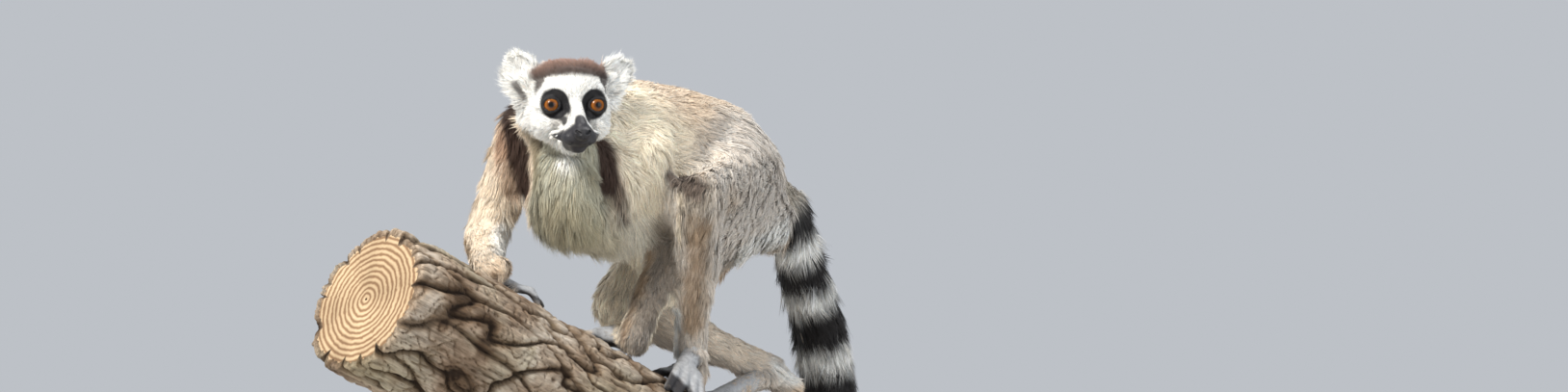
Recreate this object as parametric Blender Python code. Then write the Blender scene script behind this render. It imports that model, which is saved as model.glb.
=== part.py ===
"""A ring-tailed lemur at life size, walking up a cut length of branch on a display stand.

Frame: millimetres here, metres in Blender, +Z up. The origin is the centre of the stand base's
underside. The lemur faces -Y and its left side is +X. Every piece of flesh is shaped out to the
tips of its coat. Beans (tapered round bars) and eggs are melted together, then parted by thin cuts.
"""

import math

import bmesh
import bpy
from mathutils import Matrix, Vector

MM = 0.001
UP = Vector((0, 0, 1))
GAP = 0.3  # clearance between neighbouring pieces
LIMB_MARGIN = 3  # how far the cutter that frees a limb stands outside it
BLOCK = 1500  # side of the block that cuts a piece along a plane

# Bone lengths, joint to joint
UPPER_ARM = 90
FOREARM = 89
THIGH = 134
SHANK = 138
SHOULDER_SPAN = 90
HIP_SPAN = 43

# The perch: a cut length of branch, its axis falling towards the rear
PERCH_LENGTH = 500
PERCH_RADIUS = 58
PERCH_FRONT = Vector((0, -293, 366))
PERCH_YAW = 177.6
PERCH_PITCH = -23.5

# The stand
BASE_SIZE = (300, 460, 18)
BASE_CORNER = 26
BASE_EDGE = 3  # the small slope round its top
ROD_RADIUS = 9
ROD_PLACES = {"front": 112, "rear": 392}  # where along the perch each rod enters it
ROD_DEPTH = 32  # how far a rod goes into the perch

# The head: its origin lies midway between the pupils
HEAD_PLACE = Vector((47, -129, 506))
HEAD_YAW = 56
HEAD_PITCH = -8
EYE_RADIUS = 8.6
EYE_OUT = 16.6
EYE_BACK = 7.6
EYE_OPENING = (6.6, 6.0, 5.4)  # half sizes of the hollow between the lids
EYE_OPENING_BACK = -2.4
EAR_AIM = {"left": (0.82, 0.14, 0.55), "right": (-0.56, 0.12, 0.80)}
EAR_BASE = (29, 34, 14)
EAR_LENGTH = {"left": 33, "right": 31}
EAR_HALF_WIDTH = 15
EAR_HOLLOW = (8.5, 6.5, 12)

# How many triangles each melted shape keeps before it is parted
HEAD_TRIANGLES = 2350
BODY_TRIANGLES = 1480
HAND_TRIANGLES = 380
FOOT_TRIANGLES = 420

# The trunk: centre, half height and half width of each station, from chest to rump
TRUNK = {
    "brisket": ((14, -88, 452), 50, 38),
    "withers": ((3, -40, 481), 55, 44),
    "back": ((-8, 26, 473), 58, 48),
    "loin": ((-12, 80, 468), 54, 47),
    "rump": ((-9, 110, 457), 43, 41),
}

# The tail: its slope in degrees at distances along it, and its half width there
TAIL_ROOT = Vector((1, 150, 438))
TAIL_YAW = -170
TAIL_LENGTH = 560
TAIL_STEP = 12.5
TAIL_SLOPE = {0: -57, 40: -64, 85: -58, 130: -68, 175: -83, 300: -87, 360: -70, 430: -25, 500: 22, 560: 60}
TAIL_WIDTH = {0: 20, 40: 21, 90: 22, 180: 23.5, 300: 24, 470: 23.5, 530: 18, 560: 9}
TAIL_CUTS = (14, 130, 240, 350, 455)  # distances where the tail is parted

# Seams of the trunk, each a place and the yaw and pitch of its normal
COLLAR_SEAM = (Vector((6, -62, 482)), 18, 22)
RIB_SEAM = (Vector((-2, -18, 470)), 6, 8)
LOIN_SEAM = (Vector((-12, 62, 466)), 0, 8)
KNEE_SEAM = 0.22  # the share of the shank that goes with the thigh
WRIST_SEAM = 16  # how far above the wrist or ankle the limb ends

COLOURS = {
    "coat": (0.42, 0.36, 0.31),
    "belly": (0.70, 0.66, 0.58),
    "face": (0.72, 0.69, 0.64),
    "limb": (0.46, 0.42, 0.38),
    "hand": (0.38, 0.37, 0.37),
    "tail": (0.09, 0.08, 0.08),
    "eye": (0.75, 0.30, 0.03),
    "bark": (0.22, 0.14, 0.08),
    "wood": (0.13, 0.07, 0.04),
    "steel": (0.35, 0.35, 0.36),
}


def aim(yaw, pitch):
    """The unit direction turned by yaw from -Y towards +X, then raised by pitch."""
    yaw, pitch = math.radians(yaw), math.radians(pitch)
    return Vector((math.sin(yaw) * math.cos(pitch), -math.cos(yaw) * math.cos(pitch), math.sin(pitch)))


def frame_at(place, yaw, pitch, roll=0):
    """A frame whose -Y looks along aim(yaw, pitch)."""
    turn = Matrix.Rotation(math.radians(yaw), 4, "Z") @ Matrix.Rotation(math.radians(-pitch), 4, "X")
    return Matrix.Translation(place) @ turn @ Matrix.Rotation(math.radians(roll), 4, "Y")


def between(table, at):
    """The table's value at a distance, eased between its neighbouring keys."""
    keys = sorted(table)
    if at <= keys[0]:
        return table[keys[0]]
    for low, high in zip(keys, keys[1:]):
        if at <= high:
            share = (at - low) / (high - low)
            return table[low] + (table[high] - table[low]) * share
    return table[keys[-1]]


# ---------------------------------------------------------------- the skeleton's places

LEFTWARD = {"left": 1, "right": -1}
HEAD = frame_at(HEAD_PLACE, HEAD_YAW, HEAD_PITCH)
PERCH_AIM = aim(PERCH_YAW, PERCH_PITCH)
PERCH_CREST = (UP - PERCH_AIM * PERCH_AIM.z).normalized()
PERCH_SIDE = PERCH_AIM.cross(PERCH_CREST)
if PERCH_SIDE.x < 0:
    PERCH_SIDE.negate()


def on_perch(along, turn, height):
    """A place above the bark: distance from the front end, degrees from the crest to the left."""
    turn = math.radians(turn)
    outward = PERCH_CREST * math.cos(turn) + PERCH_SIDE * math.sin(turn)
    return PERCH_FRONT + PERCH_AIM * along + outward * (PERCH_RADIUS + height)


NECK_SEAM = (HEAD @ Vector((0, 30, -18)), aim(40, 46))
SHOULDERS = Vector((-4, -68, 484))
HIPS = Vector((-11, 101, 454))
SHOULDER_AIM = aim(127, -10)
HIP_AIM = aim(88, -2)

PLACE = {
    "shoulder_left": SHOULDERS + SHOULDER_AIM * SHOULDER_SPAN / 2,
    "shoulder_right": SHOULDERS - SHOULDER_AIM * SHOULDER_SPAN / 2,
    "hip_left": HIPS + HIP_AIM * HIP_SPAN / 2,
    "hip_right": HIPS - HIP_AIM * HIP_SPAN / 2,
}
POSE = (
    ("shoulder_left", "elbow_left", UPPER_ARM, -160, -55),
    ("elbow_left", "wrist_left", FOREARM, 13, -53),
    ("shoulder_right", "elbow_right", UPPER_ARM, -77, -66),
    ("elbow_right", "wrist_right", FOREARM, 47, -15),
    ("hip_left", "knee_left", THIGH, 27, -5),
    ("knee_left", "ankle_left", SHANK, -130, -60),
    ("hip_right", "knee_right", THIGH, -11, -47),
    ("knee_right", "ankle_right", SHANK, 151, -23),
)
for start, end, length, yaw, pitch in POSE:
    PLACE[end] = PLACE[start] + aim(yaw, pitch) * length


# ---------------------------------------------------------------- shaping tools


def clear_scene():
    for thing in list(bpy.data.objects):
        bpy.data.objects.remove(thing, do_unlink=True)


def finish_of(name):
    """The named plain finish, made once."""
    found = bpy.data.materials.get(name)
    if found:
        return found
    made = bpy.data.materials.new(name)
    made.use_nodes = True
    shader = made.node_tree.nodes["Principled BSDF"]
    shader.inputs["Base Color"].default_value = (*COLOURS[name], 1)
    shader.inputs["Roughness"].default_value = {"eye": 0.1, "steel": 0.3, "wood": 0.45}.get(name, 0.8)
    shader.inputs["Metallic"].default_value = 1.0 if name == "steel" else 0.0
    return made


def add_object(name, mesh, finish=None):
    made = bpy.data.objects.new(name, mesh)
    bpy.context.scene.collection.objects.link(made)
    if finish:
        mesh.materials.clear()
        mesh.materials.append(finish_of(finish))
    return made


def mesh_of(shape, name):
    """Turns a bmesh in millimetres into a mesh in metres."""
    bmesh.ops.scale(shape, vec=(MM, MM, MM), verts=shape.verts)
    bmesh.ops.recalc_face_normals(shape, faces=shape.faces)
    mesh = bpy.data.meshes.new(name)
    shape.to_mesh(mesh)
    shape.free()
    return mesh


def bean(shape, start, end, start_radius, end_radius, wide=1.0, side=(1, 0, 0)):
    """A round bar with domed ends. Its width along side is its height times wide."""
    start, end = Vector(start), Vector(end)
    axis = (end - start).normalized()
    across = (Vector(side) - axis * axis.dot(Vector(side))).normalized()
    third = axis.cross(across)
    for vert in bmesh.ops.create_uvsphere(shape, u_segments=20, v_segments=12, radius=1)["verts"]:
        place = vert.co.copy()
        at, radius = (end, end_radius) if place.z > 0 else (start, start_radius)
        vert.co = at + (across * place.x * wide + third * place.y + axis * place.z) * radius


def egg(shape, place, radii, within=Matrix.Identity(4), around=24, rings=14):
    """An ellipsoid in the given frame."""
    turn = within @ Matrix.Translation(place) @ Matrix.Diagonal((*radii, 1))
    bmesh.ops.create_uvsphere(shape, u_segments=around, v_segments=rings, radius=1, matrix=turn)


def chain(shape, places, radii, wide=1.0, side=(1, 0, 0)):
    """Beans end to end."""
    for at in range(len(places) - 1):
        bean(shape, places[at], places[at + 1], radii[at], radii[at + 1], wide, side)


def evaluated(thing):
    """The object's mesh with its modifiers applied. The object goes."""
    graph = bpy.context.evaluated_depsgraph_get()
    mesh = bpy.data.meshes.new_from_object(thing.evaluated_get(graph))
    bpy.data.objects.remove(thing, do_unlink=True)
    return mesh


def melt(shape, name, voxel, rounds, triangles):
    """Joins overlapping shapes into one smooth skin of about this many triangles."""
    thing = add_object(name, mesh_of(shape, name))
    remesh = thing.modifiers.new("melt", "REMESH")
    remesh.mode = "VOXEL"
    remesh.voxel_size = voxel * MM
    smooth = thing.modifiers.new("soften", "SMOOTH")
    smooth.factor = 0.5
    smooth.iterations = rounds
    fine = evaluated(thing)
    thing = add_object(name, fine)
    sides = sum(len(face.vertices) - 2 for face in fine.polygons)
    thin = thing.modifiers.new("thin", "DECIMATE")
    thin.ratio = min(1, triangles / sides)
    thin.use_collapse_triangulate = True
    return evaluated(thing)


def swollen(mesh, by):
    """A copy of the mesh with every point moved out by this distance."""
    copy = mesh.copy()
    normals = [vert.normal.copy() for vert in copy.vertices]
    for vert, normal in zip(copy.vertices, normals):
        vert.co += normal * by * MM
    return copy


def combined(mesh, cutter, operation):
    """The mesh after a Boolean with the cutter."""
    thing = add_object("shape", mesh)
    tool = add_object("cutter", cutter)
    step = thing.modifiers.new("cut", "BOOLEAN")
    step.operation = operation
    step.solver = "EXACT"
    step.object = tool
    bpy.context.view_layer.update()
    made = evaluated(thing)
    bpy.data.objects.remove(tool, do_unlink=True)
    return made


def largest(mesh):
    """The mesh's largest connected piece, with the crumbs of a cut dropped."""
    shape = bmesh.new()
    shape.from_mesh(mesh)
    unseen = set(shape.verts)
    islands = []
    while unseen:
        front = [unseen.pop()]
        island = set(front)
        while front:
            vert = front.pop()
            for edge in vert.link_edges:
                other = edge.other_vert(vert)
                if other in unseen:
                    unseen.discard(other)
                    island.add(other)
                    front.append(other)
        islands.append(island)
    keep = max(islands, key=len)
    bmesh.ops.delete(shape, geom=[vert for vert in shape.verts if vert not in keep], context="VERTS")
    bmesh.ops.triangulate(shape, faces=shape.faces)
    made = bpy.data.meshes.new("piece")
    shape.to_mesh(made)
    shape.free()
    return made


def parted(mesh, cutter):
    """(inside, outside): the mesh parted along the cutter's surface, with a gap."""
    inside = combined(mesh.copy(), cutter, "INTERSECT")
    outside = combined(mesh, swollen(cutter, GAP), "DIFFERENCE")
    return largest(inside), largest(outside)


def half(mesh, place, normal):
    """What lies behind a plane, half a gap back from it, closed."""
    normal = Vector(normal).normalized()
    turn = normal.to_track_quat("Z", "Y").to_matrix().to_4x4()
    middle = Vector(place) - normal * (GAP / 2 + BLOCK / 2)
    shape = bmesh.new()
    bmesh.ops.create_cube(shape, size=BLOCK, matrix=Matrix.Translation(middle) @ turn)
    return largest(combined(mesh, mesh_of(shape, "block"), "INTERSECT"))


def sliced(mesh, place, normal):
    """(behind, ahead): the mesh parted by a plane."""
    normal = Vector(normal)
    return half(mesh.copy(), place, normal), half(mesh, place, -normal)


# ---------------------------------------------------------------- the perch and its stand


def bark_radius(along, turn):
    """The perch's radius, with slow swells and the ridges of the bark."""
    swell = 1.6 * math.sin(along / 61 + 1.1) + 1.2 * math.sin(along / 27)
    lobes = 1.5 * math.sin(2 * turn + along / 150) + 0.9 * math.sin(5 * turn + 1.7 - along / 90)
    return PERCH_RADIUS - 1.5 + swell * 0.5 + lobes


def perch_mesh(extra=0.0, rings=9, sides=18):
    """The perch as rings about its axis. Extra adds to its radius, for the cuts of hands and feet."""
    shape = bmesh.new()
    loops = []
    for ring in range(rings):
        along = PERCH_LENGTH * ring / (rings - 1)
        centre = PERCH_FRONT + PERCH_AIM * along
        loop = []
        for side in range(sides):
            turn = 2 * math.pi * side / sides
            outward = PERCH_CREST * math.cos(turn) + PERCH_SIDE * math.sin(turn)
            loop.append(shape.verts.new(centre + outward * (bark_radius(along, turn) + extra)))
        loops.append(loop)
    for near, far in zip(loops, loops[1:]):
        for side in range(sides):
            after = (side + 1) % sides
            shape.faces.new((near[side], near[after], far[after], far[side]))
    shape.faces.new(loops[0])
    shape.faces.new(reversed(loops[-1]))
    bmesh.ops.triangulate(shape, faces=shape.faces)
    return mesh_of(shape, "perch")


def rod_span(along):
    """The rod's axis: its foot on the base and its top inside the perch."""
    centre = PERCH_FRONT + PERCH_AIM * along
    underside = centre.z - PERCH_RADIUS / math.cos(math.radians(PERCH_PITCH))
    return Vector((centre.x, centre.y, BASE_SIZE[2] + GAP)), underside + ROD_DEPTH


def rod_mesh(along, extra=0.0):
    foot, top = rod_span(along)
    shape = bmesh.new()
    height = top - foot.z + extra
    middle = Matrix.Translation((foot.x, foot.y, foot.z + height / 2))
    bmesh.ops.create_cone(
        shape, cap_ends=True, segments=16, radius1=ROD_RADIUS + extra, radius2=ROD_RADIUS + extra,
        depth=height, matrix=middle,
    )
    return mesh_of(shape, "rod")


def make_stand():
    perch = perch_mesh()
    for name, along in ROD_PLACES.items():
        add_object("stand_rod_" + name, rod_mesh(along), "steel")
        perch = combined(perch, rod_mesh(along, GAP), "DIFFERENCE")
    add_object("perch_branch", largest(perch), "bark")
    shape = bmesh.new()
    middle = Matrix.Translation((0, 0, BASE_SIZE[2] / 2)) @ Matrix.Diagonal((*BASE_SIZE, 1))
    bmesh.ops.create_cube(shape, size=1, matrix=middle)
    uprights = [edge for edge in shape.edges if abs(edge.verts[0].co.z - edge.verts[1].co.z) > 1]
    bmesh.ops.bevel(shape, geom=uprights, offset=BASE_CORNER, segments=4, affect="EDGES", profile=0.5)
    top = [
        edge for edge in shape.edges
        if all(abs(vert.co.z - BASE_SIZE[2]) < 1e-3 for vert in edge.verts)
    ]
    bmesh.ops.bevel(shape, geom=top, offset=BASE_EDGE, segments=1, affect="EDGES", profile=0.5)
    add_object("stand_base", mesh_of(shape, "stand_base"), "wood")


# ---------------------------------------------------------------- the lemur's masses


def add_trunk(shape):
    stations = list(TRUNK.values())
    for (near, near_tall, near_half), (far, far_tall, far_half) in zip(stations, stations[1:]):
        wide = (near_half + far_half) / (near_tall + far_tall)
        bean(shape, near, far, near_tall, far_tall, wide)
    # The long hair that hangs from throat and chest, between the arms
    bean(shape, (16, -94, 462), (8, -74, 424), 36, 27)
    bean(shape, (0, -97, 434), (-10, -26, 424), 32, 34)
    bean(shape, (-2, -40, 440), (-8, 30, 438), 36, 40, 0.95)
    # Shoulder blades
    for side in ("left", "right"):
        joint = PLACE["shoulder_" + side]
        bean(shape, joint + Vector((0, 2, -4)), SHOULDERS.lerp(joint, 0.5) + Vector((0, 34, 16)), 25, 30)


def add_neck(shape):
    bean(shape, HEAD @ Vector((0, 38, 2)), (6, -58, 490), 30, 42)
    bean(shape, HEAD @ Vector((0, 26, -22)), (16, -84, 466), 25, 36)
    bean(shape, HEAD @ Vector((0, 46, 8)), (4, -36, 500), 24, 32)
    egg(shape, (0, 50, -10), (41, 20, 31), HEAD)  # the ruff behind the cheeks


def add_arm(shape, side, extra=0.0):
    shoulder, elbow, wrist = (PLACE[joint + side] for joint in ("shoulder_", "elbow_", "wrist_"))
    chain(shape, (shoulder, elbow, wrist), (25 + extra, 20 + extra, 14.5 + extra))
    bean(shape, elbow.lerp(wrist, 0.08), elbow.lerp(wrist, 0.6), 19.5 + extra, 17.5 + extra)


def add_leg(shape, side, extra=0.0):
    hip, knee, ankle = (PLACE[joint + side] for joint in ("hip_", "knee_", "ankle_"))
    outward = Vector((1, 0.3, 0)) if side == "left" else Vector((-1, 0.3, 0))
    bean(shape, hip, knee, 38 + extra, 23 + extra, 0.75, outward)
    seat = hip + Vector((0, 28, -30))
    bean(shape, seat, knee.lerp(ankle, 0.3), 28 + extra, 20 + extra, 0.8, outward)
    underside = hip.lerp(knee, 0.25) + Vector((0, 6, -34))
    bean(shape, underside, knee.lerp(ankle, 0.42), 28 + extra, 18 + extra, 0.8, outward)
    chain(shape, (knee, knee.lerp(ankle, 0.45), ankle), (22 + extra, 20 + extra, 14.5 + extra))


def tail_places():
    """Distances along the tail and the places there."""
    place, along, found = TAIL_ROOT.copy(), 0.0, []
    while along <= TAIL_LENGTH:
        found.append((along, place.copy()))
        place += aim(TAIL_YAW, between(TAIL_SLOPE, along + TAIL_STEP / 2)) * TAIL_STEP
        along += TAIL_STEP
    return found


def add_tail(shape):
    stations = tail_places()
    for (near_at, near), (far_at, far) in zip(stations, stations[1:]):
        bean(shape, near, far, between(TAIL_WIDTH, near_at), between(TAIL_WIDTH, far_at))


def add_head(shape):
    def head_egg(place, radii):
        egg(shape, place, radii, HEAD)

    def head_bean(start, end, start_radius, end_radius, wide=1.0):
        bean(shape, HEAD @ Vector(start), HEAD @ Vector(end), start_radius, end_radius, wide, HEAD.col[0].xyz)

    head_egg((0, 31, 7), (30, 36, 26))  # braincase
    head_egg((0, 13, 11), (25, 18, 18))  # forehead
    head_bean((0, 8, -10), (0, -23, -18), 16, 9.6, 1.06)  # muzzle
    head_bean((0, 2, 1), (0, -28, -12.5), 8.5, 5.5, 0.9)  # bridge of the nose
    head_egg((0, -33, -16.5), (6.6, 5.5, 5.2))  # nose pad
    head_bean((0, 20, -25), (0, -18, -27), 12, 6.2, 1.15)  # lower jaw
    for out in (-1, 1):
        head_egg((out * 20, 28, -9), (15, 20, 21))  # cheek
        head_egg((out * 22, 38, -8), (16.5, 15, 23))  # the long hair behind it
        head_egg((out * 18.5, 13, -15), (12, 14, 12))  # cheekbone
        head_egg((out * EYE_OUT, EYE_BACK + 2.6, 0), (12.5, 9, 12))  # the rim about the eye
        head_egg((out * 13, 9, 12), (11, 9, 7))  # brow
        head_egg((out * 6.5, -21, -20.5), (7.2, 9, 6.6))  # upper lip
    head_egg((0, 24, -22), (26, 22, 16))  # throat


def ear_frame(side):
    """Its +Z runs up the ear and its -Y looks into the ear's cup."""
    upward = Vector(EAR_AIM[side]).normalized()
    out = LEFTWARD[side]
    facing = Vector((out * 0.42, -0.9, 0.0))
    facing = (facing - upward * facing.dot(upward)).normalized()
    turn = Matrix((upward.cross(facing), -facing, upward)).transposed().to_4x4()
    return HEAD @ Matrix.Translation((out * EAR_BASE[0], EAR_BASE[1], EAR_BASE[2])) @ turn


def add_ear(shape, side, extra=0.0):
    frame = ear_frame(side)
    wide = EAR_HALF_WIDTH + extra
    egg(shape, (0, 0, 2), (wide * 0.9, 9 + extra, 12 + extra), frame)
    egg(shape, (0, 1, 14), (wide, 7 + extra, 16 + extra), frame)
    tip = frame @ Vector((0, 0, EAR_LENGTH[side] - 4))
    bean(shape, frame @ Vector((0, 1, 14)), tip, 10 + extra, 5 + extra)


# ---------------------------------------------------------------- hands and feet

# Each digit: its knuckle, its middle and its tip on the perch, as (along, turn, height)
HANDS = {
    "right": {
        "palm": ((112, -6, 13), (122, -14, 9)),
        "digits": (
            ((130, -3, 10), (143, 1, 17), (151, 5, 13)),
            ((110, -20, 7), (98, -27, 6), (86, -36, 4)),
            ((113, -28, 7), (103, -39, 6), (92, -52, 4)),
            ((119, -31, 7), (112, -46, 6), (104, -60, 4)),
            ((125, -27, 7), (123, -42, 6), (119, -54, 4)),
        ),
    },
    "left": {
        "palm": ((244, -2, 12), (234, -12, 9)),
        "digits": (
            ((246, -17, 7), (254, -30, 5), (260, -41, 4)),
            ((222, -9, 7), (208, -13, 6), (194, -17, 4)),
            ((222, -18, 7), (209, -26, 6), (196, -34, 4)),
            ((227, -27, 7), (216, -38, 6), (205, -48, 4)),
            ((234, -30, 7), (228, -43, 6), (220, -55, 4)),
        ),
    },
}
FEET = {
    "left": {
        "palm": ((308, 9, 24), (297, 16, 12)),
        "heel": (323, 3, 17),
        "digits": (
            ((303, 4, 10), (297, -4, 8), (290, -10, 4)),
            ((290, 19, 11), (278, 31, 9), (269, 44, 4)),
            ((294, 24, 11), (284, 38, 9), (275, 52, 4)),
            ((300, 27, 11), (292, 43, 9), (284, 58, 4)),
            ((306, 28, 11), (301, 44, 8), (295, 58, 4)),
        ),
    },
    "right": {
        "palm": ((404, -1, 44), (366, -6, 10)),
        "heel": (424, 2, 42),
        "digits": (
            ((374, 6, 8), (364, 17, 6), (353, 28, 4)),
            ((354, -2, 7), (338, -3, 6), (322, -4, 4)),
            ((354, -9, 7), (338, -13, 6), (323, -17, 4)),
            ((358, -16, 7), (344, -24, 6), (331, -32, 4)),
            ((364, -21, 7), (352, -32, 6), (342, -43, 4)),
        ),
    },
}
DIGIT_RADII = (4.6, 4.2, 3.6)


def add_digits(shape, digits, size=1.0):
    for stations in digits:
        chain(shape, [on_perch(*station) for station in stations], [radius * size for radius in DIGIT_RADII])


def add_hand(shape, side):
    plan = HANDS[side]
    wrist, elbow = PLACE["wrist_" + side], PLACE["elbow_" + side]
    heel, front = (on_perch(*station) for station in plan["palm"])
    bean(shape, wrist.lerp(elbow, 0.22), wrist, 13, 12.5)
    bean(shape, wrist, heel, 11, 10)
    bean(shape, heel, front, 9.5, 8.5)
    for stations in plan["digits"]:
        bean(shape, front, on_perch(*stations[0]), 7.5, 5)
    add_digits(shape, plan["digits"])


def add_foot(shape, side):
    plan = FEET[side]
    ankle, knee = PLACE["ankle_" + side], PLACE["knee_" + side]
    instep, front = (on_perch(*station) for station in plan["palm"])
    bean(shape, ankle.lerp(knee, 0.15), ankle, 13, 13)
    bean(shape, ankle, on_perch(*plan["heel"]), 12, 9)
    bean(shape, ankle, instep, 12, 11)
    bean(shape, instep, front, 10.5, 8.5)
    for stations in plan["digits"]:
        bean(shape, front, on_perch(*stations[0]), 7.5, 5.2)
    add_digits(shape, plan["digits"], 1.12)


# ---------------------------------------------------------------- melting and parting


def make_body():
    """Melts neck, trunk, limbs and tail as one, then parts them at the joints."""
    shape = bmesh.new()
    egg(shape, (0, 31, 7), (30, 36, 26), HEAD)
    egg(shape, (0, 24, -22), (24, 22, 15), HEAD)
    add_trunk(shape)
    add_neck(shape)
    add_tail(shape)
    for side in ("left", "right"):
        add_arm(shape, side)
        add_leg(shape, side)
    body = half(melt(shape, "body", 2.5, 14, BODY_TRIANGLES), *NECK_SEAM)

    for side in ("left", "right"):
        for limb, add in (("leg", add_leg), ("arm", add_arm)):
            shape = bmesh.new()
            add(shape, side, LIMB_MARGIN)
            cutter = melt(shape, "cutter", 4, 6, 70)
            piece, body = parted(body, cutter)
            part_limb(piece, limb, side)

    # The trunk's own seams
    seams = (("neck", COLLAR_SEAM, "coat"), ("chest", RIB_SEAM, "belly"), ("abdomen", LOIN_SEAM, "coat"))
    for name, (place, yaw, pitch), finish in seams:
        body, piece = sliced(body, place, aim(yaw, pitch))
        add_object(name, piece, finish)

    for name, cut in zip(("rump", "tail_root", "tail_upper", "tail_middle", "tail_lower"), TAIL_CUTS):
        place = [found for along, found in tail_places() if along <= cut][-1]
        piece, body = sliced(body, place, aim(TAIL_YAW, between(TAIL_SLOPE, cut)))
        add_object(name, piece, "coat" if name == "rump" else "tail")
    add_object("tail_tip", body, "tail")


LIMB_NAMES = {"arm": ("upper_arm_", "forearm_"), "leg": ("thigh_", "shank_")}
LIMB_JOINTS = {"arm": ("shoulder_", "elbow_", "wrist_"), "leg": ("hip_", "knee_", "ankle_")}


def joint_plane(before, joint, after):
    """The plane that halves the bend at a joint, its normal along the limb."""
    return joint, ((joint - before).normalized() + (after - joint).normalized()).normalized()


def part_limb(piece, limb, side):
    root, middle, end = (PLACE[joint + side] for joint in LIMB_JOINTS[limb])
    upper_name, lower_name = LIMB_NAMES[limb]
    if limb == "arm":
        upper, lower = sliced(piece, *joint_plane(root, middle, end))
    else:
        # The leg is folded, so its shank is parted a little below the knee
        upper, lower = sliced(piece, middle.lerp(end, KNEE_SEAM), (end - middle).normalized())
    lower = half(lower, *end_plane(middle, end))
    add_object(upper_name + side, upper, "limb")
    add_object(lower_name + side, lower, "limb")


def end_plane(middle, end):
    """The seam above the wrist or ankle, its normal towards the digits."""
    along = (end - middle).normalized()
    return end - along * WRIST_SEAM, along


def make_extremities():
    perch = perch_mesh(GAP)
    for side in ("left", "right"):
        for name, add, neighbour, triangles in (
            ("hand_", add_hand, "forearm_", HAND_TRIANGLES),
            ("foot_", add_foot, "shank_", FOOT_TRIANGLES),
        ):
            shape = bmesh.new()
            add(shape, side)
            piece = melt(shape, name, 1.2, 6, triangles)
            above = bpy.data.objects[neighbour + side].data
            piece = combined(piece, swollen(above, GAP), "DIFFERENCE")
            piece = largest(combined(piece, perch.copy(), "DIFFERENCE"))
            add_object(name + side, piece, "hand")


def eye_ball(side, radius):
    centre = Matrix.Translation((LEFTWARD[side] * EYE_OUT, EYE_BACK, 0))
    shape = bmesh.new()
    facing = HEAD @ centre @ Matrix.Rotation(math.pi / 2, 4, "X")
    bmesh.ops.create_uvsphere(shape, u_segments=12, v_segments=8, radius=radius, matrix=facing)
    return mesh_of(shape, "ball")


def make_head():
    shape = bmesh.new()
    add_head(shape)
    add_neck(shape)
    add_trunk(shape)
    for side in ("left", "right"):
        add_arm(shape, side)
        add_ear(shape, side)
    head = melt(shape, "head", 1.3, 8, HEAD_TRIANGLES)
    head = half(head, NECK_SEAM[0], -NECK_SEAM[1])
    for side in ("left", "right"):
        shape = bmesh.new()
        add_ear(shape, side, 1.6)
        cutter = melt(shape, "cutter", 1.6, 4, 90)
        # The cup's hollow, open to the front
        shape = bmesh.new()
        egg(shape, (0, -9, 15), EAR_HOLLOW, ear_frame(side), 12, 8)
        hollow = mesh_of(shape, "hollow")
        ear, head = parted(head, cutter)
        add_object("ear_" + side, largest(combined(ear, hollow, "DIFFERENCE")), "face")
        head = largest(combined(head, eye_ball(side, EYE_RADIUS + GAP), "DIFFERENCE"))
        shape = bmesh.new()
        egg(shape, (LEFTWARD[side] * EYE_OUT, EYE_OPENING_BACK, 0), EYE_OPENING, HEAD, 12, 8)
        head = largest(combined(head, mesh_of(shape, "opening"), "DIFFERENCE"))
        add_object("eye_" + side, eye_ball(side, EYE_RADIUS), "eye")
    add_object("head", head, "face")


clear_scene()
make_stand()
make_body()
make_extremities()
make_head()
for thing in bpy.data.objects:
    thing.data.shade_smooth()
    thing.data.set_sharp_from_angle(angle=math.radians(40))
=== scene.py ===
"""A ring-tailed lemur at life size, walking up a cut length of branch on a display stand.

Sizes are in millimetres and turn into metres as each mesh is made. The origin is the centre of the
stand base's underside, -Y is the way the lemur walks, +X its left side and +Z up.
"""

import math

import bmesh
import bpy
import numpy as np
from mathutils import Matrix, Vector
from mathutils.kdtree import KDTree


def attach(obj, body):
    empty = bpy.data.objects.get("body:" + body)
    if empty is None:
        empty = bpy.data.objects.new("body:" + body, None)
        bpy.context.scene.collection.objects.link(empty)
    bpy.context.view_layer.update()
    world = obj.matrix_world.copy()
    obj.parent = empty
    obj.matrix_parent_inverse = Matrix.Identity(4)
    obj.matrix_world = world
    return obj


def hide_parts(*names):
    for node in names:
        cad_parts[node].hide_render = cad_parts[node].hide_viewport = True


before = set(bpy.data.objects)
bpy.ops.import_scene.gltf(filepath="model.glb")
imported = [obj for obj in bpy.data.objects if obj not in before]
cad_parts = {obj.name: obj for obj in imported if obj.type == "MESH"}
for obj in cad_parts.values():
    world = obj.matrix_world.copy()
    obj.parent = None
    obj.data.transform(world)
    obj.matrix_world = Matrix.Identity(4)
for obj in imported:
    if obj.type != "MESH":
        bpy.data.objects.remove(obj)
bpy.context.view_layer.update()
MM = 0.001

# ---------------------------------------------------------------- the studio
# A level camera stands in front of the lemur and to its left. The floor is one wide flat disc of
# pale paper with no wall, lit by a large soft lamp, a fill lamp and a lamp from behind.

CAMERA_YAW = 42
CAMERA_AIM = Vector((0.112, 0.030, 0.440))
CAMERA_DISTANCE = 3.0
CAMERA_LENS = 90.87

camera = bpy.data.objects.new("camera", bpy.data.cameras.new("camera"))
camera.data.lens = CAMERA_LENS
camera.data.sensor_width = 36
camera.data.clip_end = 60
turn = math.radians(CAMERA_YAW)
towards_camera = Vector((math.sin(turn), -math.cos(turn), 0))
camera_right = Vector((math.cos(turn), math.sin(turn), 0))
camera.location = CAMERA_AIM + towards_camera * CAMERA_DISTANCE
camera.rotation_euler = (math.radians(90), 0, turn)
bpy.context.scene.collection.objects.link(camera)
bpy.context.scene.camera = camera
bpy.context.scene.view_settings.view_transform = "Standard"

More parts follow.
